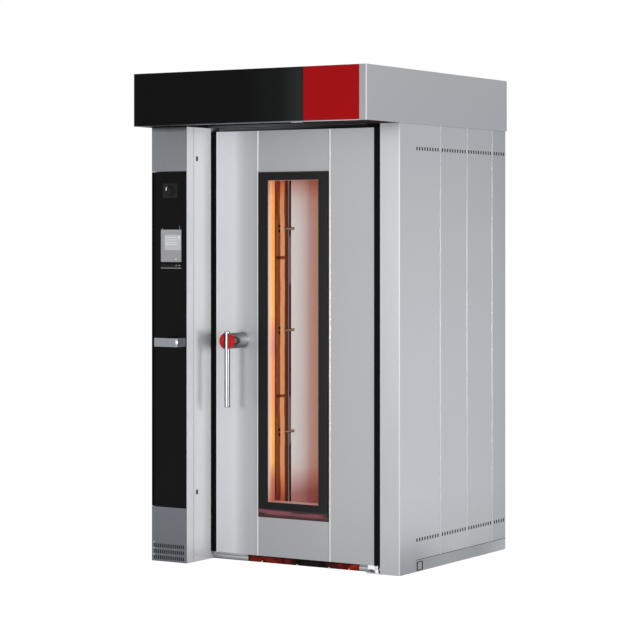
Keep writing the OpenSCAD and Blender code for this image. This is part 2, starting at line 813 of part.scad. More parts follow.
// Mounting plate inside the column with rails, contactors, drive and terminals
module component_plate() {
  plate_y = frame_y - 25;
  x = [left_x + skin_t, column_x - skin_t];
  plate_lift = 88;
  z0 = service_z0 + plate_lift;
  color("lightgray") {
    span(x, [plate_y, plate_y + 2], [z0, service_z1 - 93]);
    for (z = [z0 + 170, z0 + 450, z0 + 730])
      span([x[0] + 20, x[1] - 20], [plate_y - 8, plate_y], [z, z + 35]);
  }
  color("dimgray") {
    for (i = [0:2])
      span([x[0] + 24 + i * 50, x[0] + 69 + i * 50], [plate_y - 60, plate_y - 8],
           [z0 + 150, z0 + 225]);
    for (i = [0:3])
      span([x[0] + 24 + i * 38, x[0] + 58 + i * 38], [plate_y - 55, plate_y - 8],
           [z0 + 435, z0 + 515]);
    for (i = [0:9])
      span([x[0] + 24 + i * 15, x[0] + 38 + i * 15], [plate_y - 40, plate_y - 8],
           [z0 + 725, z0 + 770]);
    span([x[0] + 30, x[1] - 30], [plate_y - 65, plate_y], [z0 + 890, z0 + 1150]);
  }
}

// Service door: folded steel surround with the hinge eyes
module service_door() {
  x = [left_x, cover_x1];
  z = [service_z0, service_z1];
  face = cover_y + glass_back + glass_t;
  swing_relief = 8;
  color("slategray") difference() {
    // its flanges are shorter than the covers', so that they swing clear of the column
    span(x, [cover_y, side_y - swing_relief], z);
    span([x[0] + skin_t, x[1] - skin_t], [cover_y - 1, face],
         [z[0] + skin_t, z[1] - skin_t]);
    span([x[0] + skin_t, x[1] - skin_t], [face + skin_t, side_y + 1],
         [z[0] + skin_t, z[1] - skin_t]);
    bar_z(service_pin_x, service_pin_y, [z[0] - 1, z[0] + skin_t + 1],
          service_pin_r + pin_fit);
    bar_z(service_pin_x, service_pin_y, [z[1] - skin_t - 1, z[1] + 1],
          service_pin_r + pin_fit);
  }
}

glass_y0 = cover_y + glass_back;
panel_mid = (left_x + column_x) / 2;

module control_glass() {
  color([0.05, 0.05, 0.06])
    span([left_x + skin_t, cover_x1 - skin_t], [glass_y0, glass_y0 + glass_t],
         [service_z0 + skin_t, service_z1 - skin_t]);
}

screen_x = panel_mid + 5;

// Touch screen and the strip with the data port under it
module touch_screen() {
  color("lightsteelblue") {
    span([screen_x - screen_w / 2, screen_x + screen_w / 2], [glass_y0 - screen_t, glass_y0],
         [screen_z, screen_z + screen_h]);
    difference() {
      span([screen_x - screen_w / 2, screen_x + screen_w / 2],
           [glass_y0 - screen_t, glass_y0], [screen_z - 31, screen_z - 12]);
      span([screen_x + screen_w / 2 - 26, screen_x + screen_w / 2 - 10],
           [glass_y0 - screen_t - 1, glass_y0 + 1], [screen_z - 25, screen_z - 18]);
    }
  }
}

// Flat bar bent twice, screwed to the glass panel
module control_pull() {
  x1 = cover_x1 - skin_t;
  x0 = x1 - pull_w;
  y0 = cover_y - pull_out;
  r = 8;
  color("silver") translate([0, 0, pull_z]) linear_extrude(pull_h) difference() {
    union() {
      translate([x0 + r, y0]) square([pull_w - 2 * r, glass_y0 - y0]);
      translate([x0, y0 + r]) square([pull_w, glass_y0 - y0 - r]);
      for (x = [x0 + r, x1 - r]) translate([x, y0 + r]) circle(r = r);
    }
    translate([x0 + pull_t, y0 + r]) square([pull_w - 2 * pull_t, glass_y0 - y0]);
    translate([x0 + r, y0 + pull_t]) square([pull_w - 2 * r, glass_y0 - y0]);
    for (x = [x0 + r, x1 - r]) translate([x, y0 + r]) circle(r = r - pull_t);
  }
}

switch_x = screen_x - 6;
switch_mid_z = switch_z + switch_h / 2;

// Plate of the main switch, with the bore for its shaft
module switch_plate() {
  color([0.2, 0.2, 0.21]) difference() {
    span([switch_x - switch_w / 2, switch_x + switch_w / 2], [glass_y0 - 3, glass_y0],
         [switch_z, switch_z + switch_h]);
    bar_y(switch_x, [glass_y0 - 4, glass_y0 + 1], switch_mid_z, 5 + pin_fit);
  }
}

// Turning main switch: round skirt, grip bar across it and the shaft
module switch_knob() {
  y0 = glass_y0 - 3 - seat - switch_out;
  color([0.08, 0.08, 0.08]) {
    bar_y(switch_x, [glass_y0 - 3 - seat - 6, glass_y0 - 3 - seat], switch_mid_z, switch_r);
    bar_y(switch_x, [y0, glass_y0 - 3 - seat], switch_mid_z, switch_r - 9);
    span([switch_x - 5, switch_x + 5], [y0, glass_y0 - 3 - seat - 6],
         [switch_mid_z - switch_r + 2, switch_mid_z + switch_r - 2]);
    bar_y(switch_x, [glass_y0 - 3 - seat, glass_y0 - 0.2], switch_mid_z, 5);
  }
}

// Hood

hood_x0 = left_x - hood_side;
hood_x1 = right_x + hood_side;
hood_y0 = -hood_front;

// Sheet behind the fascia with the folded steel strip at its right end
module hood_front() {
  color("silver") {
    span([hood_x0, hood_x1], [hood_y0 + fascia_t, hood_y0 + fascia_t + skin_t],
         [body_h, hood_z1]);
    span([hood_x1 - end_strip_w, hood_x1], [hood_y0, hood_y0 + fascia_t], [body_h, hood_z1]);
  }
}

module hood_black_glass() {
  color([0.05, 0.05, 0.06])
    span([hood_x0, hood_x1 - end_strip_w - red_w], [hood_y0, hood_y0 + fascia_t],
         [body_h, hood_z1]);
}

module hood_red_panel() {
  color([0.66, 0.06, 0.06])
    span([hood_x1 - end_strip_w - red_w, hood_x1 - end_strip_w], [hood_y0, hood_y0 + fascia_t],
         [body_h + 2, hood_z1]);
}

// Sides, back and sunken top of the hood
module hood_shell() {
  y0 = hood_y0 + fascia_t + skin_t;
  y1 = back_y + hood_back;
  color("lightgray") {
    for (x = [hood_x0, hood_x1 - skin_t]) span([x, x + skin_t], [y0, y1], [body_h, hood_z1]);
    span([hood_x0 + skin_t, hood_x1 - skin_t], [back_y, y1], [body_h, hood_z1]);
    difference() {
      span([hood_x0 + skin_t, hood_x1 - skin_t], [y0, back_y], [top_z, top_z + skin_t]);
      bar_z(flue_x, flue_y, [top_z - 1, top_z + skin_t + 1], flue_r + play);
    }
  }
}

// Underside of the hood: lip, recess and the slots that take in the steam
module hood_soffit() {
  x = [hood_x0 + skin_t, hood_x1 - skin_t];
  y0 = hood_y0 + fascia_t + skin_t;
  slot_edge = 70;
  color("gray") difference() {
    union() {
      span(x, [y0, y0 + hood_lip], [body_h, body_h + skin_t]);
      span(x, [y0 + hood_lip - skin_t, y0 + hood_lip], [body_h + skin_t, canopy_z]);
      span(x, [y0 + hood_lip - skin_t, 0], [canopy_z, canopy_z + skin_t]);
      span(x, [-skin_t, 0], [body_h, canopy_z]);
    }
    for (i = [0:23])
      translate([x[0] + slot_edge + i * (x[1] - x[0] - 2 * slot_edge) / 23, 0, 0])
        span([-4, 4], [y0 + 60, y0 + 190], [canopy_z - 1, canopy_z + skin_t + 1]);
  }
}

// Flue from the ceiling up through the hood, drawn in to a spigot at its end
module flue_pipe() {
  z0 = ceiling_z;
  z1 = hood_z1 - 4;
  step_z = z1 - spigot_h;
  spigot_r = flue_r - spigot_in;
  color("silver") difference() {
    union() {
      bar_z(flue_x, flue_y, [z0, step_z], flue_r);
      bar_z(flue_x, flue_y, [step_z - flue_t, z1], spigot_r);
    }
    bar_z(flue_x, flue_y, [z0 - 1, step_z - flue_t], flue_r - flue_t);
    bar_z(flue_x, flue_y, [z0 - 1, z1 + 1], spigot_r - flue_t);
    bar_x([flue_x - flue_r - 1, flue_x + flue_r + 1], flue_y, damper_z, damper_pin_r + pin_fit);
  }
}

// Damper: a disc on a spindle with its arm outside the pipe
module flue_damper() {
  color("dimgray") {
    bar_z(flue_x, flue_y, [damper_z - 1, damper_z + 1], flue_r - flue_t - 1);
    bar_x([flue_x - flue_r - 8, flue_x + flue_r + 20], flue_y, damper_z, damper_pin_r);
    span([flue_x + flue_r + 12, flue_x + flue_r + 18], [flue_y - 8, flue_y + 60],
         [damper_z - 8, damper_z + 8]);
  }
}

// Hardware on the body

// Wear plate behind the left post that the cam turns behind
module latch_keeper() {
  color("gainsboro")
    span([entrance_x0 - 42, entrance_x0], [chamber_y0, chamber_y0 + 3],
         [hub_z - 40, hub_z + 40]);
}

// Brackets at the foot and the head of the right post, each with its pin
module hinge_brackets() {
  color("silver") {
    span([door_x1 - 32, jamb_x], [hinge_y - 16, frame_y], [ground_gap, ground_gap + 5]);
    bar_z(hinge_x, hinge_y, [ground_gap + 5, door_z0 - 18], 12);
    bar_z(hinge_x, hinge_y, [door_z0 - 18, door_z0 - 1], hinge_pin_r);
    span([door_x1 - 32, jamb_x], [hinge_y - 10, frame_y], [body_h - 5, body_h]);
    bar_z(hinge_x, hinge_y, [door_z1 + 1, body_h - 5], hinge_pin_r);
  }
}

// Door

// Four face panels; the side ones carry the bright beads beside the window
module door_face_panels() {
  z = [door_z0, door_z1];
  y = [door_set, door_set + skin_t];
  joint = 1;
  hem = 10;
  color("silver") {
    difference() {
      profile_z(z,
        [[door_x0, y[0]], [window_x0 - 6, y[0]], [window_x0 - 5, y[0] - 2], [window_x0 - 1, y[0] - 2],
         [window_x0, y[0]], [window_x0, y[0] + hem], [window_x0 - skin_t, y[0] + hem],
         [window_x0 - skin_t, y[1]], [door_x0 + skin_t, y[1]], [door_x0 + skin_t, door_y1 - skin_t],
         [door_x0, door_y1 - skin_t]]);
      bar_y(hub_x, [y[0] - 1, y[1] + 1], hub_z, spindle_r + 4);
    }
    profile_z(z,
      [[door_x1, y[0]], [window_x1 + 6, y[0]], [window_x1 + 5, y[0] - 2], [window_x1 + 1, y[0] - 2],
       [window_x1, y[0]], [window_x1, y[0] + hem], [window_x1 + skin_t, y[0] + hem],
       [window_x1 + skin_t, y[1]], [door_x1 - skin_t, y[1]], [door_x1 - skin_t, door_y1 - skin_t],
       [door_x1, door_y1 - skin_t]]);
    span([window_x0 + joint, window_x1 - joint], y, [door_z0, window_z0]);
    span([window_x0 + joint, window_x1 - joint], y, [window_z1, door_z1]);
  }
}

tunnel_x0 = clear_x0 - skin_t;
tunnel_x1 = clear_x1 + skin_t;
tunnel_z0 = clear_z0 - skin_t;
tunnel_z1 = clear_z1 + skin_t;
inner_pin_x = tunnel_x1 + 40;
inner_pin_y = door_y1 + 8;
inner_pin_r = 4;
inner_z0 = tunnel_z0 - 24;
inner_z1 = tunnel_z1 + 24;

// Inner skin in four sheets, the lined window tunnel, the spindle's bush and
// the two eyes that carry the inner window
module door_inner_skin() {
  y = [door_y1 - skin_t, door_y1];
  z = [door_z0, door_z1];
  color("silver") {
    difference() {
      span([door_x0, tunnel_x0], y, z);
      bar_y(hub_x, [y[0] - 1, y[1] + 1], hub_z, spindle_r + 4);
    }
    span([tunnel_x1, door_x1], y, z);
    span([tunnel_x0, tunnel_x1], y, [door_z0, tunnel_z0]);
    span([tunnel_x0, tunnel_x1], y, [tunnel_z1, door_z1]);
    span([tunnel_x0, clear_x0], [pane_y0 + pane_t, y[0]], [tunnel_z0, tunnel_z1]);
    span([clear_x1, tunnel_x1], [pane_y0 + pane_t, y[0]], [tunnel_z0, tunnel_z1]);
    span([clear_x0, clear_x1], [pane_y0 + pane_t, y[0]], [tunnel_z0, clear_z0]);
    span([clear_x0, clear_x1], [pane_y0 + pane_t, y[0]], [clear_z1, tunnel_z1]);
    // bush of the spindle
    difference() {
      bar_y(hub_x, [door_set + skin_t, door_y1 + 3], hub_z, spindle_r + 3.9);
      bar_y(hub_x, [door_set, door_y1 + 4], hub_z, spindle_r + pin_fit);
    }
    // hinge eyes of the inner window
    for (e = [[inner_z0 - 12, inner_z0 - 4], [inner_z1 + 4, inner_z1 + 12]])
      difference() {
        union() {
          span([inner_pin_x - 8, inner_pin_x + 8], [door_y1, inner_pin_y], e);
          bar_z(inner_pin_x, inner_pin_y, e, 8);
        }
        span([inner_pin_x - 9, inner_pin_x + 9], [door_y1 - 9, door_y1], [e[0] - 1, e[1] + 1]);
        bar_z(inner_pin_x, inner_pin_y, [e[0] - 1, e[1] + 1], inner_pin_r + pin_fit);
      }
  }
}

// Insulation in four slabs round the window tunnel
module door_core() {
  hem_y = door_set + 10;
  y1 = door_y1 - skin_t;
  x0 = door_x0 + skin_t;
  x1 = door_x1 - skin_t;
  color("khaki") {
    difference() {
      span([x0, tunnel_x0], [hem_y, y1], [door_z0, door_z1]);
      bar_y(hub_x, [door_set, door_y1], hub_z, spindle_r + 4);
    }
    span([tunnel_x1, x1], [hem_y, y1], [door_z0, door_z1]);
    span([tunnel_x0, tunnel_x1], [hem_y, y1], [door_z0, tunnel_z0]);
    span([tunnel_x0, tunnel_x1], [hem_y, y1], [tunnel_z1, door_z1]);
  }
}

// Black frame that holds the outer pane: two stiles and two rails
module window_frame() {
  y = [door_set - frame_out, door_set + 10];
  groove = [pane_y0, pane_y0 + pane_t];
  lap = 8;
  color([0.08, 0.08, 0.08]) difference() {
    union() {
      span([pane_x0, clear_x0], y, [pane_z0, pane_z1]);
      span([clear_x1, pane_x1], y, [pane_z0, pane_z1]);
      span([clear_x0, clear_x1], y, [pane_z0, clear_z0]);
      span([clear_x0, clear_x1], y, [clear_z1, pane_z1]);
    }
    span([clear_x0 - lap - play, clear_x1 + lap + play], [groove[0] - play, y[1] + 1],
         [clear_z0 - lap - play, clear_z1 + lap + play]);
  }
}

module outer_glass() {
  lap = 8;
  color([0.6, 0.7, 0.75, 0.35])
    span([clear_x0 - lap, clear_x1 + lap], [pane_y0, pane_y0 + pane_t],
         [clear_z0 - lap, clear_z1 + lap]);
}

// Red silicone round the frame: two side strips, a top strip and the sloping sill
module window_seal() {
  y = [door_set - 3, door_set + 10];
  color([0.6, 0.1, 0.08]) {
    span([window_x0 + seat, pane_x0], y, [window_z0 + seat, window_z1 - seat]);
    span([pane_x1, window_x1 - seat], y, [window_z0 + seat, window_z1 - seat]);
    span([pane_x0, pane_x1], y, [pane_z1, window_z1 - seat]);
    profile_x([pane_x0, pane_x1],
      [[door_set, window_z0 + seat], [door_set - frame_out, pane_z0], [y[1], pane_z0],
       [y[1], window_z0 + seat]]);
  }
}

// Lamp strips on both sides of the window tunnel
module door_lamps() {
  y1 = door_y1 - skin_t - 1;
  color("orange")
    for (x = [[clear_x0, clear_x0 + 8], [clear_x1 - 8, clear_x1]])
      profile_z([clear_z0 + 2, clear_z1 - 2],
        x[0] < door_mid
          ? [[x[0], y1], [x[0], y1 - lamp_w], [x[1], y1 - lamp_w + 6], [x[1], y1 - 6]]
          : [[x[1], y1], [x[1], y1 - lamp_w], [x[0], y1 - lamp_w + 6], [x[0], y1 - 6]]);
}

// Red silicone sweep under the door
module door_sweep() {
  color([0.7, 0.1, 0.06])
    profile_x([sweep_x0, sweep_x1],
      [[40, door_z0], [40, 14], [42, ground_gap], [46, ground_gap], [50, 20], [56, 24],
       [56, door_z0]]);
}

// Black edge seals at both sides, and the strips that close on the frame
module door_seals() {
  z = [door_z0, door_z1];
  strip = 14;
  gasket = [door_y1, frame_y - seat];
  in0 = entrance_x0 - 24 - strip;
  in1 = entrance_x1 + 24;
  tip_x = column_x + cheek_t + 1;
  color([0.07, 0.07, 0.07]) {
    profile_z(z,
      [[door_x0, door_set + 9], [tip_x, door_set + 9], [tip_x, door_set + 15],
       [door_x0 - 10, door_set + 25], [door_x0, door_set + 25]]);
    profile_z(z,
      [[door_x1, door_set + 2], [jamb_x - 3, door_set + 2], [jamb_x - 3, door_set + 12],
       [door_x1 + 10, door_set + 30], [door_x1, door_set + 30]]);
    for (x = [in0, in1]) span([x, x + strip], gasket, [door_z0 + 4, entrance_z1 + 24 + strip]);
    span([in0 + strip, in1], gasket, [entrance_z1 + 24, entrance_z1 + 24 + strip]);
  }
}

// Arms under and over the door with the bores of its pins
module door_hinge_blocks() {
  color("gainsboro")
    for (z = [[door_z0 - 18 + seat, door_z0], [door_z1, body_h - 5 - seat]])
      difference() {
        union() {
          span([door_x1 - 32, hinge_x], [hinge_y - 12, door_set + 40], z);
          bar_z(hinge_x, hinge_y, z, 14);
        }
        span([door_x1 - 40, hinge_x - 14], [hinge_y - 20, door_set], [z[0] - 1, z[1] + 1]);
        span([hinge_x, hinge_x + 20], [hinge_y - 15, hinge_y + 60], [z[0] - 1, z[1] + 1]);
        bar_z(hinge_x, hinge_y, [z[0] - 1, z[1] + 1], hinge_pin_r + pin_fit);
      }
}

// Inner window, which opens for cleaning

module inner_glass() {
  color([0.6, 0.7, 0.75, 0.35])
    span([tunnel_x0 - 16, tunnel_x1 + 16], [door_y1 + 4, door_y1 + 8], [inner_z0 + 6, inner_z1 - 6]);
}

module inner_glass_rails() {
  y = [door_y1 + 2, door_y1 + 10];
  groove = [door_y1 + 4 - play, door_y1 + 8 + play];
  color("gainsboro") {
    for (z = [[inner_z0, inner_z0 + 20], [inner_z1 - 20, inner_z1]])
      difference() {
        span([tunnel_x0 - 22, tunnel_x1 + 24], y, z);
        span([tunnel_x0 - 16 - play, tunnel_x1 + 16 + play], groove,
             [inner_z0 + 6 - play, inner_z1 - 6 + play]);
      }
    difference() {
      union() {
        span([tunnel_x1 + 4, tunnel_x1 + 24], y, [inner_z0 + 20, inner_z1 - 20]);
        for (e = [[inner_z0, inner_z0 + 60], [inner_z1 - 60, inner_z1]])
          span([tunnel_x1 + 24, inner_pin_x], [inner_pin_y - 3, inner_pin_y + 2], e);
      }
      span([tunnel_x1, tunnel_x1 + 16 + play], groove, [inner_z0, inner_z1]);
    }
    for (e = [[inner_z0 - 11, inner_z0 + 60], [inner_z1 - 60, inner_z1 + 11]])
      bar_z(inner_pin_x, inner_pin_y, e, inner_pin_r);
  }
}

// Lever

lever_y = hub_y - 6;

module handle_hub() {
  color("silver") difference() {
    bar_y(hub_x, [hub_y, door_set - seat], hub_z, hub_r);
    bar_z(hub_x, lever_y, [hub_z - 60, hub_z + 60], lever_r + play);
    bar_y(hub_x, [hub_y + 30, door_set], hub_z, spindle_r + play);
  }
}

// Red cap in two half moons beside the lever
module handle_cap() {
  cap_edge = 1.5;
  slot = lever_r + 0.5;
  color([0.7, 0.05, 0.05]) difference() {
    translate([hub_x, hub_y, hub_z]) rotate([90, 0, 0]) {
      cylinder(r = cap_r, h = cap_t - cap_edge);
      translate([0, 0, cap_t - cap_edge])
        cylinder(r1 = cap_r, r2 = cap_r - cap_edge, h = cap_edge);
    }
    span([hub_x - slot, hub_x + slot], [hub_y - cap_t - 1, hub_y + 1],
         [hub_z - cap_r - 1, hub_z + cap_r + 1]);
  }
}

module handle_lever() {
  color("gainsboro") {
    bar_z(hub_x, lever_y, [hub_z - lever_down + 2, hub_z + lever_up - 2], lever_r);
    for (e = [[hub_z - lever_down, lever_r - 2, lever_r], [hub_z + lever_up - 2, lever_r, lever_r - 2]])
      translate([hub_x, lever_y, e[0]]) cylinder(r1 = e[1], r2 = e[2], h = 2);
  }
}

cam_y = chamber_y0 + 3 + seat;
cam_t = 10;

// Spindle through the door, with the release knob on its inner end
module handle_spindle() {
  color("silver") {
    bar_y(hub_x, [hub_y + 31, cam_y + cam_t + 2], hub_z, spindle_r);
    bar_y(hub_x, [cam_y + cam_t + 2, cam_y + cam_t + 16], hub_z, spindle_r + 3);
  }
}

// Locking cam: upright while the lever hangs, behind the keeper once it is turned
module latch_cam() {
  tip_r = 11;
  color("silver")
    translate([hub_x, cam_y + cam_t, hub_z]) rotate([90, 0, 0]) linear_extrude(cam_t)
      difference() {
        union() {
          translate([-tip_r, 0]) square([2 * tip_r, cam_len - tip_r]);
          translate([0, cam_len - tip_r]) circle(r = tip_r);
          circle(r = spindle_r + 6);
        }
        circle(r = spindle_r + play);
      }
}

// Rotor

// Shaft, beam and the two hooks that take the rack's top bar
module rack_hook() {
  reach = 120;
  top = hook_z + 12 + hook_mouth;
  color("silver") {
    difference() {
      bar_z(door_mid, rotor_y, [top + 8, gearbox_z + 59], rotor_r);
      bar_z(door_mid, rotor_y, [top - 1, top + 9], rotor_r - 8);
    }
    bar_z(door_mid, rotor_y, [top + 8, top + 18], 60);
    span([door_mid - reach - 20, door_mid + reach + 20], [rotor_y - 30, rotor_y + 30],
         [top, top + 8]);
    for (s = [-1, 1])
      translate([door_mid + s * reach - 6, 0, 0])
        profile_x([0, 12],
          [[rotor_y - 30, top + 1], [rotor_y + 30, top + 1], [rotor_y + 30, top],
           [rotor_y + 50, top], [rotor_y + 50, hook_z],
           [rotor_y - 60, hook_z], [rotor_y - 60, hook_z + 18], [rotor_y - 50, hook_z + 18],
           [rotor_y - 44, hook_z + 12], [rotor_y + 30, hook_z + 12],
           [rotor_y + 30, top - 6], [rotor_y - 30, top - 6]]);
  }
}

// Circulation fans

// One curved blade, seen along the fan's axis
module blade_outline() {
  curve_r = 110;
  intersection() {
    translate([60, -70]) difference() {
      circle(r = curve_r, $fn = 96);
      circle(r = curve_r - 3, $fn = 96);
    }
    difference() {
      circle(r = fan_r - 5, $fn = 96);
      circle(r = 92, $fn = 96);
    }
    translate([60, -fan_r]) square([fan_r, 2 * fan_r]);
  }
}

// Radial fan: back plate, curved blades, inlet ring, hub and shaft, turning about X
module fan_wheel(h) {
  depth = fan_x1 - fan_x0;
  plate_t = 3;
  translate([fan_x0, fan_y, h]) rotate([0, 90, 0]) {
    cylinder(r = fan_r, h = plate_t, $fn = 96);
    cylinder(r = 32, h = 40);
    for (i = [0:fan_blades - 1])
      rotate([0, 0, i * 360 / fan_blades])
        translate([0, 0, plate_t / 2]) linear_extrude(depth - plate_t) blade_outline();
    translate([0, 0, depth - plate_t]) difference() {
      cylinder(r = fan_r, h = plate_t, $fn = 96);
      translate([0, 0, -1]) cylinder(r = fan_r - 60, h = plate_t + 2, $fn = 96);
    }
    translate([0, 0, wool_x0 - 28 - fan_x0])
      cylinder(r = fan_shaft_r, h = fan_x0 - wool_x0 + 28 + plate_t / 2);
  }
}

module upper_fan() {
  color("silver") fan_wheel(fan_high_z);
}
module lower_fan() {
  color("silver") fan_wheel(fan_low_z);
}

// Everything stands so that the origin is under the middle of the oven
module placed() {
  translate([0, frame_shift, 0]) children();
}

placed() base_rails();
placed() levelling_feet();
placed() floor_plate();
placed() threshold_plates();
placed() plinth_plates();
placed() right_jamb();
placed() right_side_panels();
placed() left_side_panels();
placed() rear_panels();
placed() roof_plate();
placed() chamber_walls();
placed() chamber_ceiling();
placed() air_duct_wall();
placed() louvre_clips();
placed() duct_outer_wall();
placed() wall_insulation();
placed() door_frame();
placed() heating_elements();
placed() fan_motors();
placed() steam_generator();
placed() rotor_gearmotor();
placed() column_side();
placed() column_top_cover();
placed() louvre_cover();
placed() component_plate();
placed() hood_front();
placed() hood_black_glass();
placed() hood_red_panel();
placed() hood_shell();
placed() hood_soffit();
placed() flue_pipe();
placed() latch_keeper();
placed() hinge_brackets();
placed() door_face_panels();
placed() door_inner_skin();
placed() door_core();
placed() window_frame();
placed() outer_glass();
placed() window_seal();
placed() door_lamps();
placed() door_sweep();
placed() door_seals();
placed() door_hinge_blocks();
placed() inner_glass();
placed() inner_glass_rails();
placed() handle_hub();
placed() handle_cap();
placed() handle_lever();
placed() handle_spindle();
placed() latch_cam();
placed() service_door();
placed() control_glass();
placed() touch_screen();
placed() control_pull();
placed() switch_plate();
placed() switch_knob();
placed() rack_hook();
placed() upper_fan();
placed() lower_fan();
placed() flue_damper();
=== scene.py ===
# %% [markdown]
# # Dressing a rotary rack oven
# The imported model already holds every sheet, bar and pane at its real size. Here it gets its
# finishes: satin steel that goes from light to dark, black glass, red seals, and a warm chamber
# behind the window. Small parts that are too fine for the model, such as screws and the signs
# on the screen, are added on top of it.

# %% Load the model
import math
import bmesh
import bpy
from mathutils import Matrix, Vector


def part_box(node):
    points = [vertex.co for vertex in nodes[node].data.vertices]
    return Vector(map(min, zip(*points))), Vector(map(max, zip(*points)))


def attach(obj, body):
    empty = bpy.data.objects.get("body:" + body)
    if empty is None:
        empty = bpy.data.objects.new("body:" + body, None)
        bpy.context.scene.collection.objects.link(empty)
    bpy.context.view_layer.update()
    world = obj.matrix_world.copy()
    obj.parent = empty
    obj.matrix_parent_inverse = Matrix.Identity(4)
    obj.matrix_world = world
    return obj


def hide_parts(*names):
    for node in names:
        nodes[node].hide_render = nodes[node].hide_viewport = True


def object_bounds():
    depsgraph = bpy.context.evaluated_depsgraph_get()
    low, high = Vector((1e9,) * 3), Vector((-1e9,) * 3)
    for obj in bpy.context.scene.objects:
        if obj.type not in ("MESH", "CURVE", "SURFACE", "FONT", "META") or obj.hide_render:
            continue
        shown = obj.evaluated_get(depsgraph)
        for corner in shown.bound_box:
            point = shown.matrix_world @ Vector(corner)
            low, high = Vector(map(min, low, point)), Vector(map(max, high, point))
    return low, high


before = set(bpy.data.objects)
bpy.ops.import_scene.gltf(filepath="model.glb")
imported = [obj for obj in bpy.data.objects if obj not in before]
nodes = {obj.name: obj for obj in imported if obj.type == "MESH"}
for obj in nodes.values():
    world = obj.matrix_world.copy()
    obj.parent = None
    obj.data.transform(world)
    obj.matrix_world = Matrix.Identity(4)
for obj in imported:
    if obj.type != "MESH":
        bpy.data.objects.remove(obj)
cad_low, cad_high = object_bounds()
print("nodes", len(nodes), "box", [round(v, 3) for v in (*cad_low, *cad_high)])

# %% [markdown]
# ## Camera
# The photo was taken from the right with a long lens, at the height of a standing person's
# eyes. The same width of view could be had from any distance with another focal length, but
# the real distance matters here: it sets how strongly the hood and the side panels draw
# together.

# %% Camera
camera_place = Vector((5.7165, -9.3166, 1.5458))
camera_turn = math.radians(31.648)
camera = bpy.data.objects.new("camera", bpy.data.cameras.new("camera"))
camera.location = camera_place
camera.rotation_euler = (math.radians(90), 0, camera_turn)
camera.data.sensor_width = 36
camera.data.lens = 128.08
camera.data.shift_y = -0.1331
bpy.context.scene.collection.objects.link(camera)
bpy.context.scene.camera = camera
bpy.context.scene.view_settings.view_transform = "Standard"
print("camera", [round(v, 3) for v in camera.location])

# %% [markdown]
# ## A small kit for finishes
# Every finish is a tree of shader nodes. Small helpers keep the trees short: one turns a hex
# colour into the linear numbers that Blender wants, one adds a node and plugs it in, and one
# makes a colour that changes along an axis of the oven.

# %% Colours and nodes
def colour(code):
    """The linear RGBA of a hex colour such as "B4B8BF"."""
    channels = [int(code[i : i + 2], 16) / 255 for i in (0, 2, 4)]
    linear = [c / 12.92 if c <= 0.04045 else ((c + 0.055) / 1.055) ** 2.4 for c in channels]
    return (*linear, 1.0)


def add(tree, kind, inputs=None, **settings):
    """Adds a shader node, sets it up and plugs in what is given for its inputs."""
    made = tree.nodes.new("ShaderNode" + kind)
    for name, value in settings.items():
        setattr(made, name, value)
    for name, value in (inputs or {}).items():
        socket = made.inputs[name]
        if isinstance(value, bpy.types.NodeSocket):
            tree.links.new(value, socket)
        else:
            socket.default_value = value
    return made


def new_finish(name, **constants):
    """A material with its Principled shader; the constants go straight onto its sockets."""
    material = bpy.data.materials.new(name)
    material.use_nodes = True
    shader = material.node_tree.nodes["Principled BSDF"]
    for socket, value in constants.items():
        shader.inputs[socket.replace("_", " ")].default_value = value
    return material, material.node_tree, shader


def place_in(tree, axis=None):
    """The place on the object, or one axis of it, in metres."""
    coordinates = add(tree, "TexCoord").outputs["Object"]
    if axis is None:
        return coordinates
    return add(tree, "SeparateXYZ", {0: coordinates}).outputs[axis]


def rescaled(tree, value, low, high):
    """The values from low to high brought to 0 to 1, and all others to the nearer end."""
    return add(tree, "MapRange", {"Value": value, "From Min": low, "From Max": high}).outputs[0]


def ramp(tree, value, stops):
    """A colour that follows stops of (value, hex)."""
    low, high = stops[0][0], stops[-1][0]
    band = add(tree, "ValToRGB", {"Fac": rescaled(tree, value, low, high)})
    elements = band.color_ramp.elements
    elements[0].color = colour(stops[0][1])
    elements[1].color = colour(stops[-1][1])
    for place, code in stops[1:-1]:
        elements.new((place - low) / (high - low)).color = colour(code)
    return band.outputs["Color"]


def colour_along(tree, axis, stops):
    """A colour that follows stops of (metres, hex) along one axis."""
    return ramp(tree, place_in(tree, axis), stops)


def mask_along(tree, axis, *steps):
    """A mask along one axis; steps are (metres, True for white or False for black)."""
    return colour_along(tree, axis, [(place, "FFFFFF" if on else "000000") for place, on in steps])


print("white is", colour("FFFFFF"))

# %% [markdown]
# ## Blends, noise and tones
# No real sheet has one even colour. A weak noise gives it grain and waves, and a blend lays one
# pattern over another. A tone, in all that follows, is either a hex colour or a function that
# adds the nodes of a colour that changes.

# %% Blends, noise and tones
def blend_colours(tree, mode, amount, first, second):
    """Two colours mixed in one of Blender's blend modes."""
    mix = add(tree, "Mix", {0: amount}, data_type="RGBA", blend_type=mode)
    for socket, value in ((mix.inputs[6], first), (mix.inputs[7], second)):
        if isinstance(value, bpy.types.NodeSocket):
            tree.links.new(value, socket)
        else:
            socket.default_value = value
    return mix.outputs[2]


def multiplied(tree, first, second):
    """Two colours multiplied, like one glaze over another."""
    return blend_colours(tree, "MULTIPLY", 1.0, first, second)


def noise_in(tree, scale, detail=2.0, stretch=(1, 1, 1)):
    """A noise pattern; stretch scales each axis, so that grain can be drawn out."""
    mapping = add(tree, "Mapping", {"Vector": place_in(tree), "Scale": stretch})
    noise = add(
        tree, "TexNoise", {"Vector": mapping.outputs[0], "Scale": scale, "Detail": detail}
    )
    return noise.outputs["Fac"]


def spread(tree, value, low, high):
    """A pattern from 0 to 1 brought to the values from low to high."""
    return add(tree, "MapRange", {"Value": value, "To Min": low, "To Max": high}).outputs[0]


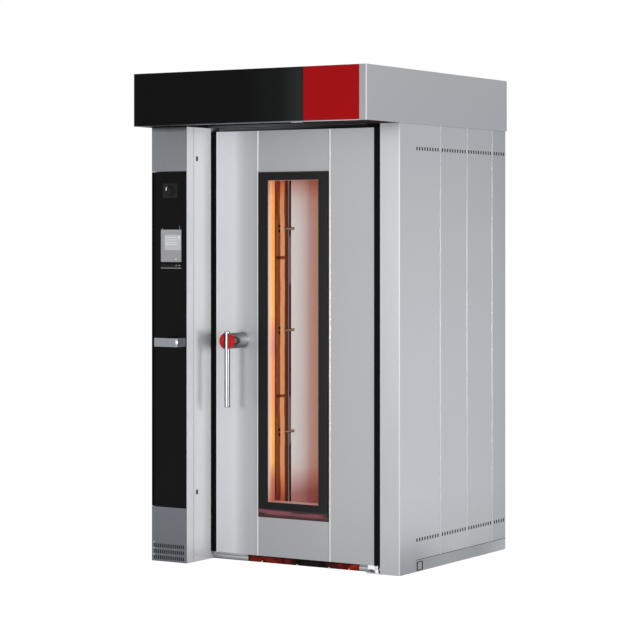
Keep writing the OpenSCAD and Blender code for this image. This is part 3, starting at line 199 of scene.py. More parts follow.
def grained(tree, base, noise, amount):
    """A colour that a noise makes lighter and darker by a share."""
    return multiplied(tree, base, spread(tree, noise, 1 - amount, 1 + amount))


def give_off(tree, shader, light, strength):
    """Lets a finish shine weakly in a colour."""
    tree.links.new(light, shader.inputs["Emission Color"])
    shader.inputs["Emission Strength"].default_value = strength


def tone_in(tree, tone):
    """The colour of a tone, which is a hex code or a function."""
    return tone(tree) if callable(tone) else colour(tone)


def tone_along(axis, *stops):
    """A tone that changes along one axis."""
    return lambda tree: colour_along(tree, axis, stops)


def crossed_tone(axis, along, upright):
    """A tone with one ramp along an axis, multiplied by one over the height."""
    return lambda tree: multiplied(
        tree, colour_along(tree, axis, along), colour_along(tree, "Z", upright)
    )


print("kit ready, plain tone", [round(v, 3) for v in tone_in(None, "808080")])

# %% [markdown]
# ## Satin steel
# The cladding is stainless sheet with a fine ground finish. A mirror-like metal alone looks
# like chrome, so the grain is built from a noise drawn out along the sheet: it moves the
# colour, the roughness and a very low bump. A second, broad noise gives the slight waves of
# thin sheet.

# %% Steel finish
def steel(name, tone, grain="Z", rough=(0.24, 0.34), lines=0.02, metal=1.0, shine=0.0):
    """Ground steel. metal is a share, or a function that adds the nodes of a mask."""
    material, tree, shader = new_finish(name, Metallic=1.0 if callable(metal) else metal)
    if callable(metal):
        tree.links.new(metal(tree), shader.inputs["Metallic"])
        shader.inputs["Specular IOR Level"].default_value = 0.0
    fineness, waves = 160.0, 0.015
    stretch = tuple(1.0 if axis == grain else fineness for axis in "XYZ")
    fine = noise_in(tree, 6.0, 3.0, stretch)
    broad = noise_in(tree, 1.3, 1.0)
    waved = grained(tree, grained(tree, tone_in(tree, tone), fine, lines), broad, waves)
    tree.links.new(waved, shader.inputs["Base Color"])
    if shine:
        give_off(tree, shader, waved, shine)
    tree.links.new(spread(tree, fine, *rough), shader.inputs["Roughness"])
    bump = add(tree, "Bump", {"Height": fine, "Strength": 0.03, "Distance": 0.0003})
    tree.links.new(bump.outputs[0], shader.inputs["Normal"])
    return material


print("steel can be made")

# %% [markdown]
# ## Side panels, jamb and hood
# The side is made of four sheets joined by folded seams. The seams catch the light as pale lines,
# painted here as white that hardly mirrors: a painted highlight. One ramp could hold all three
# seams, but a ramp is stored in 256 steps, too coarse for a fold of 9 mm in a side of about a
# metre. So each seam gets a short ramp of its own, and the masks are multiplied. Over the height
# the colour darkens at the foot and a little at the top, painted shade.

# %% Side panels, jamb and hood
seams = (0.0185, 0.2835, 0.5425)
fold_width = 0.009
panel_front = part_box("right_side_panels")[0].y
casing_rear = 0.68


def sheet_mask(tree):
    """White on the flat sheets, black on the folded seams between them."""
    mask = None
    for seam in seams:
        part = mask_along(
            tree, "Y", (seam - 0.05, True), (seam - fold_width - 0.0002, True),
            (seam - fold_width + 0.0002, False), (seam - 0.0004, False), (seam + 0.0001, True),
            (seam + 0.05, True),
        )
        mask = part if mask is None else multiplied(tree, mask, part)
    return mask


def panel_tone(tree):
    """Each sheet a little darker than the one before; white seams as a painted highlight; painted
    shade at the foot, darkest at the front.
    """
    across = colour_along(tree, "Y", [
        (panel_front, "FFFFFF"), (seams[0] - 0.008, "FFFFFF"), (seams[0], "F8F8F8"),
        (seams[1] - 0.008, "F8F8F8"), (seams[1], "F3F3F3"), (seams[2] - 0.008, "F1F1F1"),
        (seams[2], "E6E6E6"), (casing_rear, "E2E2E2"),
    ])
    # On the seams the colour is white: a painted highlight along the folds.
    across = blend_colours(tree, "MIX", sheet_mask(tree), colour("FFFFFF"), across)
    # Painted shade over the height: darker at the foot and a little at the top, and darker still at
    # the foot of the front sheet than further back.
    dark = colour_along(tree, "Z", [
        (0.03, "8E9195"), (0.09, "9A9DA1"), (0.14, "A8ABB0"), (0.22, "B4B7BC"),
        (0.35, "BABDC2"), (0.9, "BABEC3"), (1.5, "B6B8BC"), (2.0, "ABAEB3"),
    ])
    light = colour_along(tree, "Z", [
        (0.03, "AAADB1"), (0.09, "B2B5B9"), (0.35, "BABDC2"), (0.9, "BABEC3"),
        (1.5, "B6B8BC"), (2.0, "ABAEB3"),
    ])
    rear = mask_along(tree, "Y", (-0.37, False), (-0.2, False), (0.1, True), (casing_rear, True))
    return multiplied(tree, across, blend_colours(tree, "MIX", rear, dark, light))


steel_panels = steel("panel_steel", panel_tone, metal=sheet_mask)
jamb_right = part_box("right_jamb")[1].x
# The last 5 mm at the jamb's right corner are white: a painted highlight along the edge.
steel_jamb = steel("jamb_steel", crossed_tone("X", [
    (jamb_right - 0.13, "DCDCDC"), (jamb_right - 0.0055, "DCDCDC"), (jamb_right - 0.005, "FFFFFF"),
    (jamb_right, "FFFFFF"),
], [
    (0.0, "BCBEC2"), (0.2, "C6C8CC"), (0.6, "C6C7CB"), (1.2, "C7C9CC"), (1.7, "CDCFD2"),
    (2.05, "D1D3D6"),
]))
steel_hood = steel("hood_steel", crossed_tone("Y", [
    (-0.68, "FFFFFF"), (casing_rear, "F4F4F4"),
], [
    (2.05, "A4A6AC"), (2.3, "A6A8AD"),
]), grain="Y")
strip_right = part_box("hood_front")[1].x
# The pale line at the strip's right corner is a painted highlight; a narrow pale line also runs along
# its left edge.
steel_strip = steel("end_strip_steel", tone_along(
    "X", (strip_right - 0.037, "D2D2D3"), (strip_right - 0.0358, "D2D2D3"),
    (strip_right - 0.035, "949599"), (strip_right - 0.003, "949599"),
    (strip_right - 0.0025, "D0D0D1"), (strip_right, "D0D0D1"),
))
steel_roof = steel("roof_steel", "A8AAAC", grain="X", rough=(0.34, 0.44))
steel_kick = steel("kick_plate_steel", tone_along(
    "Y", (-0.22, "8A8D8F"), (0.1, "94979A"), (0.4, "8E9193"), (casing_rear, "A4A6A9"),
), grain="Y")
print("steel finishes", len(bpy.data.materials))

# %% [markdown]
# ## The door's own steel
# The three sheets of the door take the light differently: the left one falls from a pale to a
# middle grey towards the window, the middle one is darker, the right one is even. This light and
# shade is painted. Folded beads run beside the window, and their bright lines are painted
# highlights. A colour that follows X draws all of this in one finish, and a weak second colour
# darkens the foot of the door.

# %% Door and column steel
window_low, window_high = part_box("window_seal")
door_low, door_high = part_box("door_face_panels")
window_left, window_right = window_low.x, window_high.x


def door_tone(tree):
    """Left sheet, bead, middle sheet, bead, right sheet: the light on each sheet and the bright beads
    are painted.
    """
    across = colour_along(tree, "X", [
        (door_low.x, "D5D7DA"), (-0.280, "D3D5D9"), (-0.268, "C9CBCF"), (-0.2515, "C0C1C5"),
        (-0.235, "B8BABE"), (-0.2185, "B1B2B6"), (-0.202, "AEB0B4"), (-0.169, "AAACAF"),
        (window_left - 0.0075, "A8AAAC"), (window_left - 0.0068, "E2E3E4"),
        (window_left - 0.0004, "E2E3E4"), (window_left + 0.0004, "9FA1A4"),
        (window_right - 0.0004, "A5A7A9"),
        (window_right + 0.0004, "D6D7D8"), (window_right + 0.0068, "D6D7D8"),
        (window_right + 0.0075, "AAACAD"), (door_high.x, "AAACAD"),
    ])
    upright = colour_along(tree, "Z", [
        (door_low.z, "EDEDED"), (0.35, "F5F5F5"), (0.6, "F4F4F4"), (1.0, "F2F2F2"),
        (1.5, "F2F2F2"), (2.0, "FBFBFB"),
    ])
    return multiplied(tree, across, upright)


steel_door = steel("door_steel", door_tone, rough=(0.30, 0.36), metal=0.35)
post_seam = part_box("column_side")[0].y + 0.0558


def column_tone(tree):
    """Light side with a dark seam beside the corner post, darker at the foot."""
    along = colour_along(tree, "Y", [
        (post_seam - 0.056, "FFFFFF"), (post_seam - 0.003, "FBFBFB"), (post_seam - 0.0025, "C9C9CB"),
        (post_seam + 0.0015, "C9C9CB"), (post_seam + 0.002, "FFFFFF"), (post_seam + 0.15, "FFFFFF"),
    ])
    upright = colour_along(tree, "Z", [
        (0.0, "A9A7A9"), (0.06, "C3C4C6"), (0.12, "CDCFD2"), (0.45, "CFD1D4"), (1.2, "D2D4D6"),
        (1.55, "D2D4D7"), (1.9, "DADCDF"), (2.05, "D4D6D9"),
    ])
    return multiplied(tree, along, upright)


steel_column = steel("column_side_steel", column_tone, rough=(0.22, 0.28), metal=0.15)
# Painted shade: the covers at the front of the column are darker greys than its side, and the top
# cover darkens most just under the hood.
steel_top_cover = steel("top_cover_steel", tone_along(
    "Z", (1.84, "7C7F84"), (2.03, "767A7F"), (2.05, "4A4C4F"),
), metal=0.8)
steel_low_cover = steel("low_cover_steel", tone_along("Z", (0.0, "64686D"), (0.26, "6C7076")))
steel_service = steel("service_door_steel", "232425")
print("door from", round(door_low.x, 3), "to", round(door_high.x, 3))

# %% [markdown]
# ## Black glass, enamel and red acrylic
# Black glass is nearly all reflection, so its own colour is close to nothing and its specular
# level is low; a faint cloud in the roughness stands for wiped fingerprints. Enamel scatters
# the light more. The red panel is back-painted acrylic: deep, even, glossy. The lowest
# millimetres of both sheets are their ground edge, which looks paler.

# %% Glass, enamel, acrylic
def coated(name, tone, rough, spec, scale, depth=0.0002, change=0.08):
    """A smooth painted, moulded or glazed surface with a faint uneven sheen."""
    material, tree, shader = new_finish(name, Specular_IOR_Level=spec)
    cloud = noise_in(tree, scale, 3.0)
    tree.links.new(grained(tree, tone_in(tree, tone), cloud, change), shader.inputs["Base Color"])
    tree.links.new(spread(tree, cloud, *rough), shader.inputs["Roughness"])
    bump = add(tree, "Bump", {"Height": cloud, "Strength": 0.1, "Distance": depth})
    tree.links.new(bump.outputs[0], shader.inputs["Normal"])
    return material


red_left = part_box("hood_red_panel")[0].x
lip_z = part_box("hood_black_glass")[0].z


def ground_edge(tree, face, edge):
    """The colour of the face, with that of the ground edge on the lowest millimetres."""
    mask = mask_along(
        tree, "Z", (lip_z, True), (lip_z + 0.0035, True), (lip_z + 0.0045, False),
        (lip_z + 0.1, False),
    )
    return blend_colours(tree, "MIX", mask, face, edge)


def fascia_tone(tree):
    """Black that gets greyer beside the red panel."""
    face = colour_along(tree, "X", [
        (cad_low.x, "0A0A0A"), (red_left - 0.32, "0B0B0B"), (red_left - 0.12, "131515"),
        (red_left - 0.02, "232726"), (red_left, "1D2120"),
    ])
    edge = colour_along(tree, "X", [
        (cad_low.x, "17181A"), (-0.45, "202224"), (-0.25, "4A4C4F"), (0.1, "6A6C70"),
        (red_left, "7C7E82"),
    ])
    return ground_edge(tree, face, edge)


def acrylic_tone(tree):
    """Deep red over a dull edge."""
    return ground_edge(tree, colour("990A0E"), colour("7C6264"))


def body_tone(tree):
    """Black, but grey over the door, where the light from the hood falls on it."""
    over = colour_along(tree, "X", [
        (-0.40, "707274"), (-0.1, "646668"), (0.08, "3C3E40"), (0.2, "16181A"), (0.5, "060607"),
    ])
    mask = mask_along(tree, "Z", (2.0, False), (2.034, False), (2.037, True), (2.053, True))
    return blend_colours(tree, "MIX", mask, colour("060607"), over)


frame_tone = tone_along(
    "X", (window_left, "090A0B"), (0.1, "0B0C0D"), (0.19, "131315"), (window_right, "18181A"),
)
fascia_glass = coated("fascia_glass", fascia_tone, (0.05, 0.09), 0.05, 3.0, 0.0001)
control_glass = coated("control_glass", "0D0D0D", (0.05, 0.09), 0.06, 3.0, 0.0001)
red_acrylic = coated("red_acrylic", acrylic_tone, (0.07, 0.11), 0.05, 3.0, 0.0001, change=0.03)
frame_enamel = coated("window_frame_enamel", frame_tone, (0.32, 0.42), 0.15, 60.0)
body_enamel = coated("body_frame_enamel", body_tone, (0.4, 0.5), 0.08, 60.0)
duct_black = coated("duct_shadow", "0D0807", (0.7, 0.8), 0.02, 60.0)
print("materials", len(bpy.data.materials))

# %% [markdown]
# ## Rubber, plastic and machine paint
# The sweep under the door is red silicone. The light at its ends and the near black between them
# are painted light and shade, and its dark upper edge is a painted shadow under the door; darker
# patches come from a noise of raised contrast. Plastic and machine paint are the same kind of coat
# with a rougher sheen, so one function serves them all.

# %% Rubber, plastic, machine paint
sweep_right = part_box("door_sweep")[1].x


def sweep_tone(tree):
    """Painted light and shade: red at both ends, almost black in the middle, with a dark upper edge
    that is a painted shadow.
    """
    # Painted light and shade along the width: lit red at both ends, almost black between them.
    across = colour_along(tree, "X", [
        (-0.222, "3A1512"), (-0.19, "7A201A"), (-0.06, "741E19"), (0.0, "5E221D"), (0.05, "1A1412"),
        (0.20, "141212"), (0.27, "5A1C16"), (sweep_right - 0.05, "94281C"), (sweep_right, "B43A24"),
    ])
    # Painted shadow: the top of the sweep darkens under the door's lower edge.
    upright = colour_along(tree, "Z", [
        (0.0, "B8B0B0"), (0.008, "FFFFFF"), (0.026, "FFFFFF"), (0.034, "7A7A7A"), (0.038, "4A4A4A"),
    ])
    patches = rescaled(tree, noise_in(tree, 30.0, 2.0), 0.40, 0.60)
    cloudy = blend_colours(tree, "MULTIPLY", patches, across, colour("A08C8C"))
    return multiplied(tree, cloudy, upright)


black_rubber = coated("black_rubber", "050506", (0.55, 0.7), 0.06, 220.0)
red_rubber = coated("red_silicone", sweep_tone, (0.45, 0.6), 0.04, 90.0, change=0.1)
red_cap = coated("red_cap_plastic", "B00E0E", (0.15, 0.25), 0.2, 30.0)
grey_paint = coated("grey_machine_paint", "5C6064", (0.4, 0.55), 0.4, 120.0)
blue_paint = coated("gearmotor_paint", "37506B", (0.35, 0.5), 0.4, 120.0)
dark_plastic = coated("switch_plastic", "191B1A", (0.4, 0.5), 0.1, 240.0)
plate_plastic = coated("switch_plate_plastic", "1C1E1C", (0.4, 0.5), 0.1, 240.0)
print("materials", len(bpy.data.materials))

# %% [markdown]
# ## Sill seal
# The red silicone under the window is brownish, and its sill has lighter pink patches that are
# painted highlights. The same rubber finish is used with a colour drawn out along the window's width.

# %% Window seal finish
def seal_tone(tree):
    """Dark brown red; the sill has long pink patches, painted highlights."""
    # The pink patches are painted highlights.
    patches = rescaled(tree, noise_in(tree, 7.0, 2.0, (1.0, 1.0, 9.0)), 0.42, 0.62)
    sill = blend_colours(tree, "MIX", patches, colour("1E1012"), colour("7A4048"))
    height = mask_along(
        tree, "Z", (window_low.z, False), (window_low.z + 0.008, False),
        (window_low.z + 0.020, True), (window_low.z + 0.034, True),
        (window_low.z + 0.042, False), (window_high.z, False),
    )
    return blend_colours(tree, "MIX", height, colour("301416"), sill)


seal_rubber = coated("window_seal_silicone", seal_tone, (0.3, 0.45), 0.3, 40.0)
print("seal", seal_rubber.name)

# %% [markdown]
# ## The warm chamber
# Behind the window the steel is straw, copper and violet, partly its heat tint and partly the
# warm light of the lamps in the door's sides, painted into its colour. The lamps alone would need
# many samples to be smooth, so part of their glow is written into the sheet: the finish gives off
# a little of its own colour. It gets redder at the top and the foot, as the light of the strips
# ends there.

# %% Heat-tinted steel
def glow(name, tone, strength, until=None, reach_x=None):
    """Steel that is lit from inside the oven: its own colour glows a little, as painted light.

    Behind the depth `until` the sheet is out of the lamps' light and stays plain. Right of
    `reach_x` there is no painted red of the strips' light at the top and the foot."""
    material, tree, shader = new_finish(name, Metallic=0.4)
    fine, grain = noise_in(tree, 8.0, 3.0, (60.0, 60.0, 1.0)), 0.08
    lined = grained(tree, tone_in(tree, tone), fine, grain)
    # Painted light: redder at the foot and the top, where the light of the strips ends.
    height = colour_along(tree, "Z", [
        (0.25, "C88A88"), (0.32, "ECC8C4"), (0.38, "FFF4F2"), (0.45, "FFFFFF"), (1.6, "FFFFFF"),
        (1.72, "FAEEEC"), (1.79, "E4BCB4"), (1.82, "D09A90"),
    ])
    if reach_x is not None:
        # Left of this mask the painted red of the strips' light stays.
        red_light_side = mask_along(
            tree, "X", (reach_x - 0.2, True), (reach_x, True), (reach_x + 0.3, False),
            (reach_x + 0.5, False),
        )
        height = blend_colours(tree, "MIX", red_light_side, colour("E0DEDC"), height)
    shaded = multiplied(tree, lined, height)
    lit = shaded
    if until is not None:
        reach = mask_along(
            tree, "Y", (until - 0.1, True), (until, True), (until + 0.0005, False),
            (until + 0.1, False),
        )
        shaded = blend_colours(
            tree, "MIX", reach, grained(tree, colour("B9B7B4"), fine, grain), shaded
        )
        lit = multiplied(tree, lit, reach)
    tree.links.new(shaded, shader.inputs["Base Color"])
    give_off(tree, shader, lit, strength)
    tree.links.new(spread(tree, fine, 0.3, 0.45), shader.inputs["Roughness"])
    return material


print("heat-tinted steel can be made")

# %% [markdown]
# ## The louvred wall
# The wall at the left is a sheet in upright folds, one every 91 mm, then a gap, then a flat
# sheet. The lit and shaded flanks of the folds and the shade in the gap are painted. The stops of
# one fold could be written out once for each fold. Here the fraction of the depth in pitches
# repeats one set of stops instead, and a noise over the height lets the edges sway, as the folds
# of a long sheet are never quite straight.

# %% The louvred wall
wall_low, wall_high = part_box("air_duct_wall")
fold_pitch = 0.091
last_ridge = wall_high.y - 0.227
gap_start, sheet_start = last_ridge + 0.047, last_ridge + 0.058


def wall_tone(tree):
    """Copper folds with painted lit and shaded flanks, the same on every fold, then a black gap of
    painted shade and a pale sheet.
    """
    turns = add(tree, "MapRange", {
        "Value": place_in(tree, "Y"), "From Min": last_ridge - fold_pitch, "From Max": last_ridge,
    }, clamp=False).outputs[0]
    share = add(tree, "Math", {0: turns}, operation="FRACT").outputs[0]
    sway = spread(tree, noise_in(tree, 5.0, 3.0, (0.0, 0.0, 1.0)), -0.09, 0.09)
    # Painted light and shade: each fold has a lit flank and a shaded flank.
    fold = ramp(tree, add(tree, "Math", {0: share, 1: sway}, operation="ADD").outputs[0], [
        (0.0, "6A2A18"), (0.505, "6A2A18"), (0.511, "C07A58"), (0.538, "C07A58"), (0.560, "A2492D"),
        (0.714, "A2492D"), (0.747, "FABE7A"), (0.967, "FABE7A"), (0.984, "A4502C"), (1.0, "A4502C"),
    ])
    ties = colour_along(tree, "Z", [
        (0.740, "FFFFFF"), (0.742, "9A584C"), (0.755, "9A584C"), (0.757, "FFFFFF"),
        (1.424, "FFFFFF"), (1.426, "9A584C"), (1.440, "9A584C"), (1.442, "FFFFFF"),
    ])
    fold = multiplied(tree, fold, ties)
    # The black of the gap is painted shade.
    rest = colour_along(tree, "Y", [
        (last_ridge, "782818"), (gap_start - 0.001, "60201A"), (gap_start, "0D0807"),
        (sheet_start - 0.001, "0D0807"), (sheet_start, "F6FCFC"), (last_ridge + 0.14, "E6EEF0"),
        (last_ridge + 0.197, "DAD3D1"), (last_ridge + 0.227, "D0B0AE"),
    ])
    after = mask_along(
        tree, "Y", (last_ridge - 1.0, False), (last_ridge, False), (last_ridge + 0.0005, True),
        (last_ridge + 1.0, True),
    )
    return blend_colours(tree, "MIX", after, fold, rest)


warm_end = -0.33


def far_tone(tree):
    """Brown corner that turns into rose steel, and further right into plainer steel; the warm tones
    are partly heat tint and partly the lamps' warm light painted in.
    """
    return colour_along(tree, "X", [
        (wall_low.x, "D0B5B4"), (-0.350, "CEB3B0"), (-0.346, "CCAA96"), (-0.340, "D0A48E"),
        (warm_end, "CE9A88"), (warm_end + 0.03, "C89684"), (warm_end + 0.25, "BA9A8A"),
        (0.45, "B69C8E"),
    ])


lit_louvre_wall = glow("louvre_wall_steel", wall_tone, 0.57)
lit_chamber_walls = glow("chamber_steel", far_tone, 0.52, reach_x=warm_end)
core_low, core_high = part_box("door_core")
lit_reveal = glow("reveal_steel", "D8CCC8", 0.35, until=core_high.y)
clip_z = (0.569, 1.073, 1.577)


def clip_tone(tree):
    """Dark clips with a light bead along their middle."""
    stops = []
    for z in clip_z:
        stops += [(z - 0.0030, "7A5048"), (z - 0.0020, "D8C4BC")]
        stops += [(z + 0.0015, "D8C4BC"), (z + 0.0025, "7A5048")]
    return colour_along(tree, "Z", stops)


clip_steel = glow("clip_steel", clip_tone, 0.35)
chamber_steel = steel("cool_chamber_steel", "8F8883", grain="Y", rough=(0.35, 0.5))
print("last ridge at", round(last_ridge, 3))

# %% [markdown]
# ## Lamps and panes
# A pane is a thin smoky film that is nearly see-through by its alpha. Real refraction would
# bend the light inside the glass too, but it brings noise and shows nothing more here. Each
# lamp strip is a warm diffuser that shines.

# %% Panes and lamps
def pane(name, alpha):
    """Thin clear glass with a faint film on it."""
    material, tree, shader = new_finish(name, IOR=1.45, Specular_IOR_Level=0.3)
    film = noise_in(tree, 2.5, 2.0, (1.0, 1.0, 0.4))
    tree.links.new(spread(tree, film, 0.03, 0.07), shader.inputs["Roughness"])
    tree.links.new(spread(tree, film, alpha * 0.7, alpha * 1.3), shader.inputs["Alpha"])
    tree.links.new(grained(tree, colour("1C1614"), film, 0.1), shader.inputs["Base Color"])
    material.blend_method = "BLEND"
    return material


outer_pane = pane("outer_pane_glass", 0.08)
inner_pane = pane("inner_pane_glass", 0.05)


def lamp_finish(name, stops, strength):
    """A frosted strip that glows, darker at its ends and brown at its clamped rear edge."""
    material, tree, shader = new_finish(name, Roughness=0.5)
    lamp_front, clamp_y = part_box("door_lamps")[0].y, -0.3090
    edge = colour_along(tree, "Y", [
        (lamp_front, "FFFFFF"), (clamp_y, "FFFFFF"), (clamp_y + 0.001, "5A2412"),
        (clamp_y + 0.019, "6A3018"),
    ])
    tone = multiplied(tree, colour_along(tree, "Z", stops), edge)
    lit = grained(tree, tone, noise_in(tree, 25.0, 2.0), 0.06)
    tree.links.new(lit, shader.inputs["Base Color"])
    give_off(tree, shader, lit, strength)
    return material


lamp_glow = lamp_finish("lamp_diffuser", [
    (0.30, "90463E"), (0.40, "A66248"), (0.48, "CE9450"), (0.62, "D29A50"), (0.70, "D29452"),
    (0.78, "D2885A"), (0.95, "D2885A"), (1.02, "BC7C68"), (1.10, "CA8660"), (1.17, "DA9C58"),
    (1.45, "D8964A"), (1.72, "D68C4A"), (1.79, "B4744A"),
], 0.8)
print("lamps", lamp_glow.name)

# %% [markdown]
# ## Screen and mineral wool
# The display is a flat module that shines weakly in grey. The wool is only seen with the door's
# parts taken off, as a yellow felt of long fibres.

# %% Display and wool
def display(name, tone, strength):
    """A lit display surface with a faint pixel grain."""
    material, tree, shader = new_finish(name, Roughness=0.35, Specular_IOR_Level=0.1)
    pixels = noise_in(tree, 900.0, 0.0)
    lit = grained(tree, tone_in(tree, tone), pixels, 0.04)
    tree.links.new(lit, shader.inputs["Base Color"])
    give_off(tree, shader, lit, strength)
    return material


screen_low, screen_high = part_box("touch_screen")
screen_split = screen_high.z - 0.157
screen_base = display("screen_grey", tone_along(
    "Z", (screen_low.z, "8A8A8C"), (screen_low.z + 0.003, "8A8A8C"),
    (screen_low.z + 0.004, "161616"), (screen_split, "161616"),
    (screen_split + 0.001, "959597"), (screen_high.z, "999A9C"),
), 0.02)
screen_light = display("screen_light_field", "B4B6B9", 0.02)
screen_bright = display("screen_bright_line", "CACCCF", 0.05)
screen_dark = display("screen_dark_field", "949496", 0.02)
wool = coated("mineral_wool_felt", "B3A262", (0.9, 1.0), 0.1, 300.0, 0.002, change=0.25)
print("wool", wool.name)

# %% [markdown]
# ## Lever, hub, shoes and hinges
# A round lever and a turned hub mirror the room in bands, and a room that is plain white gives
# none. Here the bands are painted across the width of the lever and over the height of the
# hub, as light and dark stops of a ramp.

# %% Turned and bent steel
bare_steel = steel("turned_steel", "C4C6C8", rough=(0.16, 0.24), lines=0.04)
pull_steel = steel("pull_steel", "8E9196", grain="X", rough=(0.24, 0.32))
lever_low, lever_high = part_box("handle_lever")
hub_low, hub_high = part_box("handle_hub")
lever_steel = steel("lever_steel", tone_along(
    "X", (lever_low.x, "85878A"), (lever_low.x + 0.0035, "3A3B3D"), (lever_low.x + 0.009, "46484A"),
    (lever_low.x + 0.0125, "9EA0A2"), (lever_low.x + 0.018, "A8AAAC"),
    (lever_low.x + 0.0215, "6E7072"), (lever_high.x, "7A7C7E"),
), rough=(0.3, 0.38), lines=0.03)
hub_middle = (hub_low.z + hub_high.z) / 2
hub_steel = steel("hub_steel", tone_along(
    "Z", (hub_middle - 0.034, "4A4B4E"), (hub_middle - 0.02, "8E9093"),
    (hub_middle + 0.006, "E8E9EA"), (hub_middle + 0.016, "C8CACC"), (hub_middle + 0.034, "5A5B5E"),
), grain="Y", rough=(0.18, 0.26), lines=0.03)
# The shoe's steel gives off a little of its own colour: painted light that keeps it pale under the
# door. It is darker towards the floor.
shoe_steel = steel("shoe_steel", tone_along(
    "Z", (0.002, "3E4042"), (0.010, "737577"), (0.018, "8C8E90"), (0.025, "C4C5C7"),
    (0.032, "D4D5D7"),
), grain="X", rough=(0.25, 0.35), shine=0.35)
hinge_steel = steel("hinge_steel", tone_along(
    "Z", (0.0, "8C8E90"), (0.012, "E2E3E4"), (0.05, "E2E3E4"), (1.0, "2A2A2B"),
    (1.9, "101011"), (2.05, "101011"),
), rough=(0.25, 0.35))
print("materials", len(bpy.data.materials))

# %% [markdown]
# ## Under the hood
# The soffit is in shadow, but its rear wall has a grey band where the light from the room still
# reaches in from the left. A mask over the height keeps the band on that wall.

# %% Soffit finish
def soffit_tone(tree):
    """Dark, with a grey band low on its rear wall that fades to the right."""
    band = colour_along(tree, "X", [
        (-0.6, "1C1D1E"), (-0.45, "585A5C"), (-0.1, "5C5E60"), (0.15, "343232"), (0.3, "2C2423"),
        (0.6, "281E1D"),
    ])
    mask = mask_along(tree, "Z", (2.0525, True), (2.061, True), (2.0635, False), (2.07, False))
    return blend_colours(tree, "MIX", mask, colour("2B2D2E"), band)


soffit_steel = steel("soffit_steel", soffit_tone, grain="X", rough=(0.35, 0.5))
print("soffit", soffit_steel.name)

# %% [markdown]
# ## Giving each sheet and part its finish
# One table says which finish each node of the model gets. A node's mesh is never changed: only
# the material in its slots is.

# %% Finishes on the model
finishes = {
    steel_panels: ["right_side_panels", "left_side_panels", "rear_panels"],
    steel_jamb: ["right_jamb"],
    steel_hood: ["hood_shell"],
    soffit_steel: ["hood_soffit"],
    steel_strip: ["hood_front"],
    steel_roof: ["roof_plate"],
    steel_kick: ["plinth_plates"],
    steel_door: ["door_face_panels"],
    steel_column: ["column_side"],
    steel_top_cover: ["column_top_cover"],
    steel_low_cover: ["louvre_cover"],
    steel_service: ["service_door"],
    fascia_glass: ["hood_black_glass"],
    control_glass: ["control_glass"],
    red_acrylic: ["hood_red_panel"],
    red_cap: ["handle_cap"],
    frame_enamel: ["window_frame"],
    body_enamel: ["door_frame"],
    black_rubber: ["door_seals"],
    red_rubber: ["door_sweep"],
    seal_rubber: ["window_seal"],
    grey_paint: ["base_rails", "fan_motors", "component_plate"],
    blue_paint: ["rotor_gearmotor"],
    dark_plastic: ["switch_knob"],
    plate_plastic: ["switch_plate"],
    lit_louvre_wall: ["air_duct_wall"],
    lit_chamber_walls: ["chamber_walls", "chamber_ceiling", "floor_plate"],
    lit_reveal: ["door_inner_skin"],
    clip_steel: ["louvre_clips"],
    duct_black: ["duct_outer_wall", "heating_elements"],
    chamber_steel: [
        "steam_generator", "rack_hook", "upper_fan", "lower_fan",
        "flue_pipe", "flue_damper", "latch_keeper",
    ],
    outer_pane: ["outer_glass"],
    inner_pane: ["inner_glass"],
    lamp_glow: ["door_lamps"],
    screen_base: ["touch_screen"],
    wool: ["wall_insulation", "door_core"],
    bare_steel: ["handle_spindle", "latch_cam", "levelling_feet", "inner_glass_rails"],
    pull_steel: ["control_pull"],
    lever_steel: ["handle_lever"],
    hub_steel: ["handle_hub"],
    shoe_steel: ["threshold_plates"],
    hinge_steel: ["hinge_brackets", "door_hinge_blocks"],
}

for finish, names in finishes.items():
    for name in names:
        slots = nodes[name].material_slots
        if not slots:
            nodes[name].data.materials.append(finish)
        for slot in slots:
            slot.material = finish
dressed = {name for names in finishes.values() for name in names}
print("dressed", len(dressed), "of", len(nodes), "left:", sorted(set(nodes) - dressed))

# %% [markdown]
# ## Floor and light
# The photo has a pure white ground. The world and the floor show white to the camera and to
# everything that mirrors them, while the light that falls on the oven stays at a plain level.
# The floor keeps the soft shadow under the oven.

# %% Floor
def white_to_rays(tree):
    """1 for rays from the camera, from mirrors and through glass, and 0 for the rest."""
    path = add(tree, "LightPath")
    seen = add(tree, "Math", {0: path.outputs["Is Camera Ray"], 1: path.outputs["Is Glossy Ray"]},
               operation="MAXIMUM")
    return add(tree, "Math", {0: seen.outputs[0], 1: path.outputs["Is Transmission Ray"]},
               operation="MAXIMUM").outputs[0]


floor_mesh = bpy.data.meshes.new("floor")
half = 30.0
corners = [(-half, -half, 0), (half, -half, 0), (half, half, 0), (-half, half, 0)]
floor_mesh.from_pydata(corners, [], [(0, 1, 2, 3)])
floor = bpy.data.objects.new("floor", floor_mesh)
bpy.context.scene.collection.objects.link(floor)
floor_finish, tree, shader = new_finish("floor_white", Roughness=1.0, Specular_IOR_Level=0.0)
shader.inputs["Base Color"].default_value = (0.9, 0.9, 0.9, 1)
floor_glow, glow_share = 1.14, 0.86
light_part = add(tree, "Emission", {"Color": (1, 1, 1, 1), "Strength": floor_glow})
share = add(tree, "Math", {0: white_to_rays(tree), 1: glow_share}, operation="MULTIPLY")
mixed = add(tree, "MixShader", {
    0: share.outputs[0], 1: shader.outputs[0], 2: light_part.outputs[0],
})
tree.links.new(mixed.outputs[0], tree.nodes["Material Output"].inputs["Surface"])
floor_mesh.materials.append(floor_finish)
print("floor", half * 2, "m wide")

# %% [markdown]
# ## The room and its two lamps
# Rays from the camera and from mirrors see a white room, all others a dimmer one, so that the
# oven isn't washed out. An even room leaves every sheet as light as the next. Two area lamps
# tell them apart: one in front of the door and a stronger one to the right. Both are square
# and wide, so that their shadows are soft.

